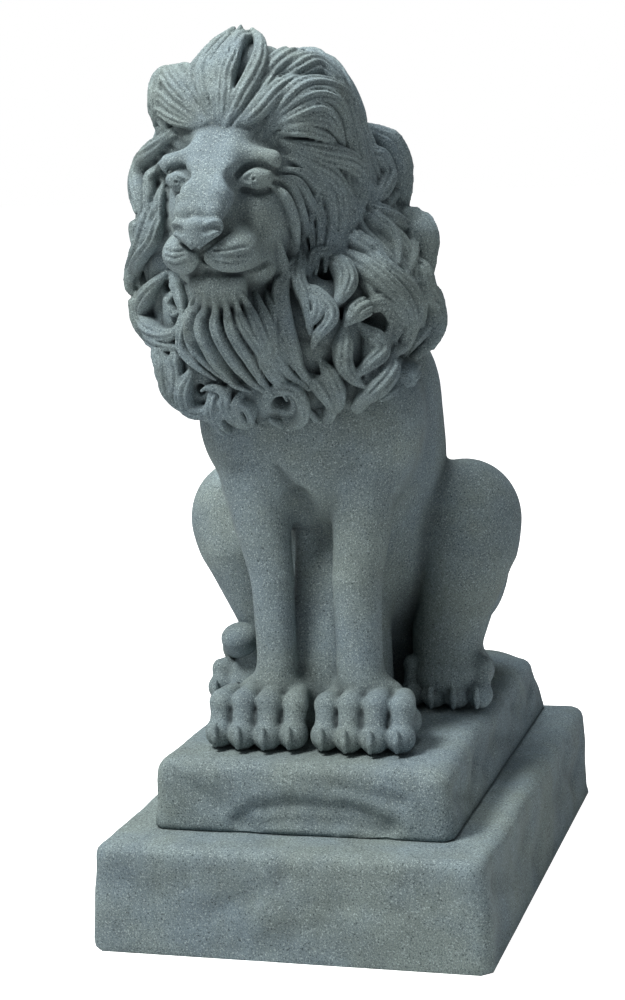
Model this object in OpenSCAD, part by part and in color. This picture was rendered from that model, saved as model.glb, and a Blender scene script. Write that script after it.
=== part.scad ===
// Seated guardian lion on a two-tier plinth, cast in stone-filled resin.
// Frame: origin at the floor under the centre of the lower tier, +Z up,
// the lion faces -Y and its left side is on +X. All sizes in millimetres.

/* [Overall] */
// Overall height, floor to the crest of the mane
overall_height = 711; // [590:1:855]
// Width of the lower tier at the floor
base_width = 318; // [264:1:382]
// Depth of the lower tier at the floor, front to back
base_depth = 457; // [380:1:550]

/* [Plinth] */
// Height of the lower tier
lower_tier_height = 86; // [70:1:104]
// Height of the upper tier
upper_tier_height = 57; // [47:1:70]
// Width of the upper tier at its foot
upper_tier_width = 242; // [220:1:262]
// Depth of the upper tier at its foot
upper_tier_depth = 398; // [350:1:410]
// How far each tier leans in from foot to top, per side
tier_draft = 5; // [3:1:8]
// Radius of the worn vertical corners
corner_radius = 16; // [8:1:24]
// Radius of the worn top edges
edge_radius = 9; // [4:1:12]
// Wall thickness of the plinth castings
plinth_wall = 13; // [10:0.5:16]

/* [Base plate] */
// Thickness of the closing plate
plate_thickness = 6; // [4:0.5:9]
// How far the plate is set up from the floor
plate_recess = 6; // [4:0.5:9]
// Gap round the edge of the plate
plate_gap = 1.5; // [0.5:0.5:3]
// Radius of the ballast filling port
port_radius = 26; // [20:1:32]
// Gap between the port and its bung
bung_gap = 0.5; // [0.3:0.1:1]
// Travel needed to pull the bung clear
bung_travel = 24; // [20:1:30]

/* [Figure] */
// Wall thickness of the hollow figure castings
figure_wall = 10; // [8:0.5:14]
// Bond line between neighbouring castings
bond_line = 0.2; // [0.1:0.05:0.5]
// Height of the neck joint at the design size
neck_joint = 402; // [395:1:420]
// Height of the shoulder joint at the design size
shoulder_joint = 300; // [285:1:315]
// Half width across the knees
knee_spread = 88; // [80:1:96]
// Half width between the foreleg centres
foreleg_spread = 36; // [32:1:40]
// Radius of the forelegs at the wrist
foreleg_radius = 22; // [20:1:26]
// How far the head sits towards the lion's right
head_offset = 44; // [20:1:46]
// Radius of the way between the hollows of head and torso
neck_way = 26; // [18:1:32]
// Radius of the way from each haunch's hollow to the torso
haunch_way = 12; // [8:1:14]

/* [Fixings] */
// Radius of the threaded rods and bolts
rod_radius = 5; // [4:0.5:6]
// Radius of the bonding dowels
dowel_radius = 4; // [3:0.5:5]
// Length of the bonding dowels
dowel_length = 34; // [28:1:40]
// Gap round every dowel, rod and bolt
fixing_gap = 0.25; // [0.1:0.05:0.5]
// Radius of the base plate screws
screw_radius = 2.5; // [2:0.25:3]
// Radius of the screw bosses
boss_radius = 13; // [10:0.5:15]

/* [Hidden] */
stone = [0.42, 0.48, 0.47];
steel = [0.72, 0.73, 0.74];
rubber = [0.1, 0.1, 0.1];
board = [0.2, 0.2, 0.21];
plinth_top = lower_tier_height + upper_tier_height;
design_top = 143;
design_rise = 568;
scale_x = base_width / 318;
scale_y = base_depth / 457;
scale_z = (overall_height - plinth_top) / design_rise;
scale_r = (scale_x + scale_y + scale_z) / 3;
foot = plinth_top + bond_line;
neck_z = high(neck_joint);
shoulder_z = high(shoulder_joint);
plate_top = plate_recess + plate_thickness;
far = 2 * (overall_height + base_depth);
outer_facets = 28;
toe_facets = 20;
inner_facets = 14;
front_rod_y = -104 * scale_y;
rump_rod_x = 34 * scale_x;
rump_rod_y = 118 * scale_y;
tier_bolt_x = upper_tier_width / 2 - tier_draft - plinth_wall - boss_radius + 2;
tier_bolt_y = upper_tier_depth / 2 - tier_draft - plinth_wall - boss_radius + 2;
upper_shift = 18 * scale_y;
plate_screw_x = base_width / 2 - tier_draft - plinth_wall - boss_radius + 3;
plate_screw_y = base_depth / 2 - tier_draft - plinth_wall - boss_radius + 3;
rod_foot = plinth_top - plinth_wall - 22;
washer_radius = 2.4 * rod_radius;
washer_thickness = 2.5;
nut_height = 1.6 * rod_radius;

// Height on the figure for a height on the design-size lion
function high(z) = plinth_top + (z - design_top) * scale_z;

// Position on the figure for a point on the design-size lion
function spot(x, y, z) = [x * scale_x, y * scale_y, high(z)];

// Facets of a ball: few inside the hollows, fewer on toes than on the body
function facets(r, inset) = inset > 2 ? inner_facets : r < 18 ? toe_facets : outer_facets;

// Ball of flesh, grown or shrunk by the inset
module ball(x, y, z, r, inset = 0) {
  translate(spot(x, y, z))
    sphere(r = max(r * scale_r - inset, 1), $fn = facets(r, inset));
}

// Everything above a height
module above(z) {
  translate([-far / 2, -far / 2, z])
    cube(far);
}

// Everything below a height
module below(z) {
  translate([-far / 2, -far / 2, z - far])
    cube(far);
}

// Drafted block with worn corners and top edges
module tier_block(width, depth, height, lean, corner, edge) {
  hull() {
    for (sx = [-1, 1])
      for (sy = [-1, 1]) {
        translate([sx * (width / 2 - corner), sy * (depth / 2 - corner), 0])
          cylinder(r = corner, h = 1, $fn = 24);
        translate([sx * (width / 2 - lean - corner), sy * (depth / 2 - lean - corner), height - edge])
          cylinder(r1 = corner, r2 = corner * 0.93, h = edge * 0.45, $fn = 24);
        translate([sx * (width / 2 - lean - corner), sy * (depth / 2 - lean - corner), height - 0.2])
          cylinder(r = max(corner - edge * 0.8, 1), h = 0.2, $fn = 24);
      }
  }
}

// Four copies round a rectangle
module four_corners(x, y) {
  for (sx = [-1, 1])
    for (sy = [-1, 1])
      translate([sx * x, sy * y, 0])
        children();
}

// Lower tier, open below, with a way up into the upper tier
module lower_plinth() {
  inside_w = base_width - 2 * plinth_wall - 2 * tier_draft;
  inside_d = base_depth - 2 * plinth_wall - 2 * tier_draft;
  color(stone)
    difference() {
      tier_block(base_width, base_depth, lower_tier_height, tier_draft, corner_radius, edge_radius);
      difference() {
        translate([-inside_w / 2, -inside_d / 2, -1])
          cube([inside_w, inside_d, lower_tier_height - plinth_wall + 1]);
        four_corners(plate_screw_x, plate_screw_y)
          translate([0, 0, plate_top])
            cylinder(r = boss_radius, h = lower_tier_height, $fn = 32);
      }
      // rebate that takes the closing plate
      translate([-inside_w / 2 - 4, -inside_d / 2 - 4, -1])
        cube([inside_w + 8, inside_d + 8, plate_top + 1]);
      // opening between the tiers, for the nuts and the ballast
      translate([0, upper_shift, lower_tier_height - plinth_wall - 1])
        linear_extrude(plinth_wall + 2)
          tier_opening();
      translate([0, upper_shift, 0])
        four_corners(tier_bolt_x, tier_bolt_y)
          cylinder(r = rod_radius + fixing_gap, h = lower_tier_height + 1, $fn = 24);
      four_corners(plate_screw_x, plate_screw_y)
        translate([0, 0, plate_top - 1])
          cylinder(r = screw_radius + fixing_gap, h = 27, $fn = 20);
    }
}

// Outline of the opening between the tiers
module tier_opening() {
  square([2 * (tier_bolt_x - boss_radius - 4), 2 * (tier_bolt_y - boss_radius - 6)], center = true);
}

// Upper tier, open below, with bolt bosses and rod holes
module upper_plinth() {
  inside_w = upper_tier_width - 2 * plinth_wall - 2 * tier_draft;
  inside_d = upper_tier_depth - 2 * plinth_wall - 2 * tier_draft;
  color(stone)
    translate([0, 0, lower_tier_height])
      difference() {
        translate([0, upper_shift, 0])
          difference() {
            tier_block(upper_tier_width, upper_tier_depth, upper_tier_height, tier_draft,
              corner_radius + 6, edge_radius * 1.4);
            difference() {
              translate([-inside_w / 2, -inside_d / 2, -1])
                cube([inside_w, inside_d, upper_tier_height - plinth_wall + 1]);
              four_corners(tier_bolt_x, tier_bolt_y)
                cylinder(r = boss_radius, h = upper_tier_height, $fn = 32);
            }
            four_corners(tier_bolt_x, tier_bolt_y)
              translate([0, 0, -1])
                cylinder(r = rod_radius + fixing_gap, h = 31, $fn = 24);
          }
        rod_places()
          cylinder(r = rod_radius + fixing_gap, h = 200, $fn = 24);
      }
}

// The four places where a rod comes through the top of the plinth
module rod_places() {
  for (side = [-1, 1]) {
    translate([side * foreleg_spread * scale_x, front_rod_y, 0])
      children();
    translate([side * rump_rod_x, rump_rod_y, 0])
      children();
  }
}

// Closing plate, set up inside the lower tier
module base_plate() {
  plate_w = base_width - 2 * plinth_wall - 2 * tier_draft + 8 - 2 * plate_gap;
  plate_d = base_depth - 2 * plinth_wall - 2 * tier_draft + 8 - 2 * plate_gap;
  color(board)
    difference() {
      translate([-plate_w / 2, -plate_d / 2, plate_recess])
        cube([plate_w, plate_d, plate_thickness - bond_line]);
      translate([0, 0, -1])
        cylinder(r = port_radius, h = plate_top + 2, $fn = 48);
      four_corners(plate_screw_x, plate_screw_y)
        translate([0, 0, -1])
          cylinder(r = screw_radius + fixing_gap, h = plate_top + 2, $fn = 20);
    }
}

// Push-in bung for the ballast port
module filling_bung() {
  color(rubber)
    difference() {
      union() {
        translate([0, 0, plate_recess - 0.3 - 3])
          cylinder(r = port_radius + 4, h = 3, $fn = 48);
        translate([0, 0, plate_recess - 1])
          cylinder(r = port_radius - bung_gap, h = plate_thickness + 8, $fn = 48);
      }
      translate([0, 0, plate_recess + 2])
        cylinder(r = port_radius - bung_gap - 4, h = plate_thickness + 8, $fn = 48);
    }
}

// Countersunk-free pan head screws for the closing plate
module base_screws() {
  color(steel)
    four_corners(plate_screw_x, plate_screw_y) {
      translate([0, 0, plate_recess - bond_line - 2.6])
        cylinder(r = screw_radius * 1.9, h = 2.6, $fn = 24);
      translate([0, 0, plate_recess - bond_line - 1])
        cylinder(r = screw_radius, h = plate_thickness + 20, $fn = 20);
    }
}

// Bolts that draw the upper tier down on the lower one
module tier_bolts() {
  color(steel)
    translate([0, upper_shift, lower_tier_height - plinth_wall - washer_thickness - 2 * bond_line])
      four_corners(tier_bolt_x, tier_bolt_y) {
        translate([0, 0, -nut_height])
          cylinder(r = rod_radius * 1.85, h = nut_height, $fn = 6);
        translate([0, 0, -1])
          cylinder(r = rod_radius, h = plinth_wall + washer_thickness + 24, $fn = 24);
      }
}

// Washers under the heads of the tier bolts
module tier_washers() {
  color(steel)
    translate([0, upper_shift, lower_tier_height - plinth_wall - washer_thickness - bond_line])
      four_corners(tier_bolt_x, tier_bolt_y)
        difference() {
          cylinder(r = washer_radius, h = washer_thickness, $fn = 32);
          translate([0, 0, -1])
            cylinder(r = rod_radius + fixing_gap, h = washer_thickness + 2, $fn = 24);
        }
}

// Threaded rods that stiffen the forelegs and hold them down
module foreleg_rods() {
  color(steel)
    for (side = [-1, 1])
      translate([side * foreleg_spread * scale_x, front_rod_y, rod_foot])
        cylinder(r = rod_radius, h = high(330) - rod_foot, $fn = 24);
}

// Threaded rods that hold the rump down
module rump_rods() {
  color(steel)
    for (side = [-1, 1])
      translate([side * rump_rod_x, rump_rod_y, rod_foot])
        cylinder(r = rod_radius, h = high(190) - rod_foot, $fn = 24);
}

// Washers on the rods, under the top of the plinth
module rod_washers() {
  color(steel)
    rod_places()
      translate([0, 0, plinth_top - plinth_wall - washer_thickness - bond_line])
        difference() {
          cylinder(r = washer_radius, h = washer_thickness, $fn = 32);
          translate([0, 0, -1])
            cylinder(r = rod_radius + fixing_gap, h = washer_thickness + 2, $fn = 24);
        }
}

// Nuts on the rods
module rod_nuts() {
  color(steel)
    rod_places()
      translate([0, 0, plinth_top - plinth_wall - washer_thickness - 2 * bond_line - nut_height])
        difference() {
          cylinder(r = rod_radius * 1.85, h = nut_height, $fn = 6);
          translate([0, 0, -1])
            cylinder(r = rod_radius + 0.1, h = nut_height + 2, $fn = 24);
        }
}

// Barrel, back, rump and the mass that fills the space under the belly
module torso_form(inset = 0) {
  hull() {
    ball(-6, -46, 378, 72, inset);
    ball(-4, -40, 412, 72, inset);
    ball(0, 4, 352, 76, inset);
  }
  hull() {
    ball(-2, -42, 345, 72, inset);
    ball(0, 8, 352, 76, inset);
    ball(0, 104, 250, 82, inset);
  }
  hull() {
    ball(0, 104, 250, 82, inset);
    ball(0, 116, 205, 78, inset);
    ball(0, -20, 215, 56, inset);
    ball(0, -44, 330, 60, inset);
  }
  hull() {
    ball(0, 116, 195, 76, inset);
    ball(0, 110, 150, 72, inset);
    ball(2, -44, 150, 26, inset);
    ball(2, -46, 290, 26, inset);
  }
}

// Shoulder swelling above each foreleg
module shoulder_form(inset = 0) {
  for (side = [-1, 1])
    hull() {
      ball(side * 48, -72, 372, 36, inset);
      ball(side * 40, -92, 318, 32, inset);
      ball(side * 38, -98, 285, 27, inset);
    }
}

// One foreleg from the shoulder joint to the plinth
module foreleg_form(side, inset = 0) {
  spread = foreleg_spread;
  hull() {
    ball(side * (spread + 3), -94, 322, 31, inset);
    ball(side * spread, -102, 250, foreleg_radius + 3, inset);
  }
  hull() {
    ball(side * spread, -102, 250, foreleg_radius + 3, inset);
    ball(side * (spread - 2), -104, 196, foreleg_radius, inset);
    ball(side * (spread + 2), -107, 168, foreleg_radius + 4, inset);
  }
  paw_form(side, inset);
}

// Forepaw with four toes
module paw_form(side, inset = 0) {
  hull() {
    ball(side * 34, -106, 160, 24, inset);
    ball(side * 44, -119, 160, 26, inset);
    ball(side * 42, -100, 150, 22, inset);
  }
  for (toe = [0, 1, 2, 3])
    hull() {
      ball(side * (18 + toe * 18), -132 + abs(toe - 1.2) * 4, 160, 12, inset);
      ball(side * (17 + toe * 19), -148 + abs(toe - 1.2) * 5, 153, 11, inset);
    }
}

// Haunch, shin and hind foot of one side
module hind_leg_form(side, inset = 0) {
  hull() {
    ball(side * (knee_spread + 10), 30, 294, 50, inset);
    ball(side * (knee_spread - 8), 96, 250, 62, inset);
    ball(side * (knee_spread - 10), 40, 236, 44, inset);
  }
  hull() {
    ball(side * (knee_spread + 8), 38, 272, 44, inset);
    ball(side * (knee_spread - 4), 78, 196, 36, inset);
    ball(side * (knee_spread - 10), 32, 190, 30, inset);
  }
  hull() {
    ball(side * (knee_spread - 10), 96, 172, 30, inset);
    ball(side * (knee_spread + 2), 20, 166, 26, inset);
    ball(side * (knee_spread - 16), 16, 168, 26, inset);
  }
  for (toe = [0, 1, 2, 3])
    hull() {
      ball(side * (knee_spread - 24 + toe * 14), 4 + abs(toe - 1.5) * 4, 164, 13, inset);
      ball(side * (knee_spread - 26 + toe * 16), -9 + abs(toe - 1.5) * 5, 154, 11, inset);
    }
}

// Tail laid round the lion's right side
module tail_form(inset = 0) {
  hull() {
    ball(-20, 196, 164, 15, inset);
    ball(-66, 178, 160, 15, inset);
  }
  hull() {
    ball(-66, 178, 160, 15, inset);
    ball(-104, 128, 160, 14, inset);
  }
  hull() {
    ball(-104, 128, 160, 14, inset);
    ball(-122, 66, 178, 13, inset);
  }
  hull() {
    ball(-122, 66, 178, 13, inset);
    ball(-98, 4, 200, 17, inset);
  }
}

// Skull, face and muzzle
module face_form(inset = 0) {
  cx = -head_offset;
  hull() {
    ball(cx + 4, -104, 604, 66, inset);
    ball(cx + 2, -136, 590, 58, inset);
    ball(cx + 2, -120, 560, 56, inset);
  }
  hull() {
    ball(cx, -150, 612, 32, inset);
    ball(cx, -196, 578, 22, inset);
    ball(cx, -160, 560, 40, inset);
  }
  hull() {
    ball(cx - 14, -192, 556, 23, inset);
    ball(cx + 14, -192, 556, 23, inset);
    ball(cx, -176, 538, 28, inset);
  }
}

// Mane: crest, cheek locks, beard and back
module mane_form(inset = 0) {
  hull() {
    translate([-38 * scale_x, -96 * scale_y, overall_height - 50 * scale_r])
      sphere(r = 50 * scale_r - inset, $fn = facets(50, inset));
    ball(-94, -88, 646, 44, inset);
    ball(22, -66, 634, 44, inset);
    ball(-12, -30, 610, 62, inset);
  }
  hull() {
    ball(-104, -88, 606, 42, inset);
    ball(-106, -92, 486, 44, inset);
    ball(-60, -60, 520, 60, inset);
    ball(-66, -100, 444, 42, inset);
  }
  hull() {
    ball(-26, -108, 440, 46, inset);
    ball(-34, -124, 500, 38, inset);
    ball(36, -88, 466, 50, inset);
    ball(0, -40, 480, 74, inset);
  }
  hull() {
    ball(26, -56, 606, 48, inset);
    ball(44, -70, 500, 54, inset);
    ball(-2, -14, 590, 62, inset);
    ball(36, -20, 500, 62, inset);
  }
  hull() {
    ball(-40, -40, 600, 66, inset);
    ball(-36, -20, 480, 66, inset);
    ball(10, -4, 470, 64, inset);
    ball(0, 0, 580, 60, inset);
  }
}

// Neck core that carries the head down to the joint
module neck_form(inset = 0) {
  hull() {
    ball(0, -40, 412, 72, inset);
    ball(-6, -46, 378, 72, inset);
    ball(0, -40, 480, 66, inset);
  }
}

// Head and mane, one hollow casting closed at the neck joint
module head() {
  color(stone)
    difference() {
      intersection() {
        union() {
          face_form();
          mane_form();
          neck_form();
        }
        above(neck_z + bond_line);
      }
      intersection() {
        mane_form(figure_wall * 1.6);
        above(neck_z + figure_wall * 1.6);
      }
      neck_way_place()
        cylinder(r = neck_way, h = 60 * scale_z, $fn = 40);
      neck_dowel_places()
        cylinder(r = dowel_radius + fixing_gap, h = dowel_length + 1, center = true, $fn = 20);
    }
}

// Where the neck dowels stand
module neck_dowel_places() {
  for (side = [-1, 1])
    for (end = [-1, 1])
      translate([side * 34 * scale_x, (-46 + end * 42) * scale_y, neck_z])
        children();
}

// Where the hollows of head and torso meet
module neck_way_place() {
  translate([0, -40 * scale_y, neck_z - 1])
    children();
}

// Torso, hollow, nested against the legs
module torso() {
  color(stone)
    difference() {
      intersection() {
        union() {
          torso_form();
          shoulder_form();
        }
        above(foot);
        below(neck_z);
      }
      intersection() {
        union() {
          foreleg_form(-1, -bond_line);
          foreleg_form(1, -bond_line);
        }
        below(shoulder_z);
      }
      intersection() {
        torso_form(figure_wall * 1.5);
        above(foot + figure_wall * 1.5);
        below(neck_z - figure_wall * 1.5);
      }
      translate([0, -40 * scale_y, neck_z - 30])
        cylinder(r = neck_way, h = 40, $fn = 40);
      neck_dowel_places()
        cylinder(r = dowel_radius + fixing_gap, h = dowel_length + 1, center = true, $fn = 20);
      haunch_dowel_places()
        cylinder(r = dowel_radius + fixing_gap, h = dowel_length + 1, center = true, $fn = 20);
      tail_dowel_place()
        cylinder(r = dowel_radius + fixing_gap, h = dowel_length + 1, center = true, $fn = 20);
      rod_places()
        translate([0, 0, plinth_top - 1])
          cylinder(r = rod_radius + fixing_gap, h = high(331) - plinth_top, $fn = 24);
    }
}

// Where the haunch dowels lie
module haunch_dowel_places() {
  for (side = [-1, 1])
    for (end = [0, 1])
      translate([side * 80 * scale_x, (70 + end * 58) * scale_y, high(254 - end * 26)])
        rotate([0, 90, 0])
          children();
}

// Where the tail dowel lies
module tail_dowel_place() {
  translate([-20 * scale_x, 186 * scale_y, high(166)])
    rotate([90, 0, 0])
      children();
}

// One foreleg casting, solid round its rod
module foreleg(side) {
  color(stone)
    difference() {
      intersection() {
        foreleg_form(side);
        above(foot);
        below(shoulder_z - bond_line);
      }
      if (side > 0)
        foreleg_form(-1, -bond_line);
      translate([side * foreleg_spread * scale_x, front_rod_y, 0])
        cylinder(r = rod_radius + fixing_gap, h = overall_height, $fn = 24);
    }
}

module left_foreleg() {
  foreleg(1);
}

module right_foreleg() {
  foreleg(-1);
}

// One hind leg casting, hollow in the haunch
module hind_leg(side) {
  color(stone)
    difference() {
      intersection() {
        hind_leg_form(side);
        above(foot);
      }
      torso_form(-bond_line);
      difference() {
        haunch_hollow(side);
        torso_form(-figure_wall * 1.3);
      }
      haunch_dowel_places()
        cylinder(r = dowel_radius + fixing_gap, h = dowel_length + 1, center = true, $fn = 20);
      // way from the space inside out to the face that meets the torso
      translate([0, 96 * scale_y, high(246)])
        rotate([0, side * 90, 0])
          cylinder(r = haunch_way, h = (knee_spread - 10) * scale_x, $fn = 32);
    }
}

// Space inside the haunch
module haunch_hollow(side) {
  hull() {
    ball(side * knee_spread, 42, 292, 46, figure_wall * 1.3);
    ball(side * (knee_spread - 10), 104, 250, 62, figure_wall * 1.3);
    ball(side * (knee_spread - 10), 40, 236, 44, figure_wall * 1.3);
  }
}

module left_hind_leg() {
  hind_leg(1);
}

module right_hind_leg() {
  hind_leg(-1);
}

// Tail, solid, bedded against the rump and the right hind leg
module tail() {
  color(stone)
    difference() {
      intersection() {
        tail_form();
        above(foot);
      }
      torso_form(-bond_line);
      hind_leg_form(-1, -bond_line);
      tail_dowel_place()
        cylinder(r = dowel_radius + fixing_gap, h = dowel_length + 1, center = true, $fn = 20);
    }
}

// Dowels across the neck joint
module neck_dowels() {
  color(steel)
    neck_dowel_places()
      cylinder(r = dowel_radius, h = dowel_length, center = true, $fn = 20);
}

// Dowels across both haunch joints
module haunch_dowels() {
  color(steel)
    haunch_dowel_places()
      cylinder(r = dowel_radius, h = dowel_length, center = true, $fn = 20);
}

// Dowel across the root of the tail
module tail_dowel() {
  color(steel)
    tail_dowel_place()
      cylinder(r = dowel_radius, h = dowel_length, center = true, $fn = 20);
}

head();
torso();
left_foreleg();
right_foreleg();
left_hind_leg();
right_hind_leg();
tail();
upper_plinth();
lower_plinth();
base_plate();
filling_bung();
base_screws();
tier_bolts();
tier_washers();
foreleg_rods();
rump_rods();
rod_washers();
rod_nuts();
neck_dowels();
haunch_dowels();
tail_dowel();
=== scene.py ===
"""Seated stone lion on a stepped plinth, built round its CAD frame."""
import itertools
import math

import bmesh
import bpy
import numpy as np
import openvdb
from mathutils import Matrix, Vector


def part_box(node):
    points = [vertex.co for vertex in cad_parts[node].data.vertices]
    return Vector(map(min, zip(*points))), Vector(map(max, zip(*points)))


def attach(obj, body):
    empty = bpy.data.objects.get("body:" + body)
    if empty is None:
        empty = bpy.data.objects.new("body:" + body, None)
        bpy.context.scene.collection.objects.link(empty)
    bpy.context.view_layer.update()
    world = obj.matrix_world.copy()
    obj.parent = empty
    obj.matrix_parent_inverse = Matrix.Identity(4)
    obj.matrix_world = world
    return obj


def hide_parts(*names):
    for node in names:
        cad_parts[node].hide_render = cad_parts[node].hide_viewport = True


bl_info = {
    "name": "Seated stone lion",
    "version": (1, 0, 0),
    "blender": (4, 5, 0),
    "location": "View3D > Sidebar > Lion",
    "description": "Models a seated lion statue, its plinth and its finishes",
    "category": "Object",
}

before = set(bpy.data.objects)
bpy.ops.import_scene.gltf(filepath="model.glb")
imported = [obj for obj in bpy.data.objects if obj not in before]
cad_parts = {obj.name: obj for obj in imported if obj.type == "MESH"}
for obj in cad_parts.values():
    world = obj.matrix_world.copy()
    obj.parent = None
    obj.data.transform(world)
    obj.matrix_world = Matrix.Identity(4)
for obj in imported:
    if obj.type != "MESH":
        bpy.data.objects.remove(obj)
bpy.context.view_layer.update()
MM = 0.001
F = np.float32
# Distance that stands for empty space, and the height at which the lion meets the upper tier, in millimetres
FAR = 40.0
FOOTING = 143.2


def corners(node):
    """Lowest and highest corner of a CAD node, in millimetres."""
    low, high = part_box(node)
    return np.array(low) / MM, np.array(high) / MM


LOWER = corners("lower_plinth")
UPPER = corners("upper_plinth")
PLATE = corners("base_plate")


# ---------------------------------------------------------------- modelling clay


def vec(*v):
    """Point or direction in the clay's own precision."""
    return np.array(v, F)


class Clay:
    """Block of modelling clay: a grid of distances in millimetres, negative inside."""

    def __init__(self, low, high, step):
        self.step = step
        self.low = vec(*low)
        n = [int(math.ceil((h - l) / step)) + 1 for l, h in zip(low, high)]
        self.d = np.full(n, FAR, F)
        self.ax = [(l + step * np.arange(k)).astype(F) for l, k in zip(low, n)]

    def window(self, low, high):
        """Part of the grid between two corners."""
        part = []
        for a, l, h in zip(self.ax, low, high):
            i, j = np.searchsorted(a, [l, h])
            part.append(slice(max(i - 1, 0), min(j + 1, len(a))))
        return tuple(part)

    def where(self, w):
        """Places of the grid's nodes in a window."""
        x, y, z = (a[part] for a, part in zip(self.ax, w))
        return x[:, None, None], y[None, :, None], z[None, None, :]

    def work(self, shape, blend, sign):
        """Join a shape on (sign 1) or carve it away (sign -1), with the seam rounded over the blend."""
        fn, low, high = shape
        margin = blend + 2 * self.step
        w = self.window(low - margin, high + margin)
        if any(part.stop <= part.start for part in w):
            return
        a = self.d[w]
        b = sign * fn(*self.where(w))
        out = np.minimum(a, b) if sign > 0 else np.maximum(a, b)
        if blend > 0:
            h = np.maximum(blend - np.abs(a - b), 0)
            out -= sign * h * h * F(0.25 / blend)
        self.d[w] = out

    def add(self, shape, blend=0.0):
        """Join a shape on."""
        self.work(shape, blend, 1)

    def cut(self, shape, blend=0.0):
        """Carve a shape away."""
        self.work(shape, blend, -1)


def turn(deg_x=0, deg_y=0, deg_z=0):
    """Rotation about x, then y, then z."""
    a, b, c = (math.radians(v) for v in (deg_x, deg_y, deg_z))
    rx = np.array([[1, 0, 0], [0, math.cos(a), -math.sin(a)], [0, math.sin(a), math.cos(a)]])
    ry = np.array([[math.cos(b), 0, math.sin(b)], [0, 1, 0], [-math.sin(b), 0, math.cos(b)]])
    rz = np.array([[math.cos(c), -math.sin(c), 0], [math.sin(c), math.cos(c), 0], [0, 0, 1]])
    return (rz @ ry @ rx).astype(F)


def egg(centre, radii, rot=None):
    """Ellipsoid, turned if a rotation is given."""
    c = vec(*centre)
    r = vec(*radii)

    def fn(x, y, z):
        x = x - c[0]
        y = y - c[1]
        z = z - c[2]
        if rot is not None:
            x, y, z = (rot[0, k] * x + rot[1, k] * y + rot[2, k] * z for k in range(3))
        k0 = np.sqrt((x / r[0]) ** 2 + (y / r[1]) ** 2 + (z / r[2]) ** 2)
        k1 = np.sqrt((x / r[0] ** 2) ** 2 + (y / r[1] ** 2) ** 2 + (z / r[2] ** 2) ** 2)
        return k0 * (k0 - 1) / np.maximum(k1, 1e-6)
    big = r.max() if rot is not None else r
    return fn, c - big, c + big


def limb(a, ra, b, rb):
    """Rounded bar from a to b whose radius runs from ra to rb."""
    a, b = vec(*a), vec(*b)
    ab = b - a
    ll = float(ab @ ab) + 1e-9

    def fn(x, y, z):
        x = x - a[0]
        y = y - a[1]
        z = z - a[2]
        t = np.clip((x * ab[0] + y * ab[1] + z * ab[2]) / ll, 0, 1)
        return np.sqrt((x - t * ab[0]) ** 2 + (y - t * ab[1]) ** 2 + (z - t * ab[2]) ** 2) - (ra + t * (rb - ra))
    r = max(ra, rb)
    return fn, np.minimum(a, b) - r, np.maximum(a, b) + r


def curve(points, n):
    """Smooth path through a few points, n samples."""
    p = np.array(points, float)
    k = len(p)
    if k == 2:
        t = np.linspace(0, 1, n)[:, None]
        return p[0] * (1 - t) + p[1] * t
    p = np.vstack([2 * p[0] - p[1], p, 2 * p[-1] - p[-2]])
    u = np.linspace(0, k - 1 - 1e-6, n)
    i = u.astype(int)
    t = (u - i)[:, None]
    a, b, c, d = p[i], p[i + 1], p[i + 2], p[i + 3]
    return 0.5 * (2 * b + (c - a) * t + (2 * a - 5 * b + 4 * c - d) * t * t + (3 * b - a - 3 * c + d) * t ** 3)


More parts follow.
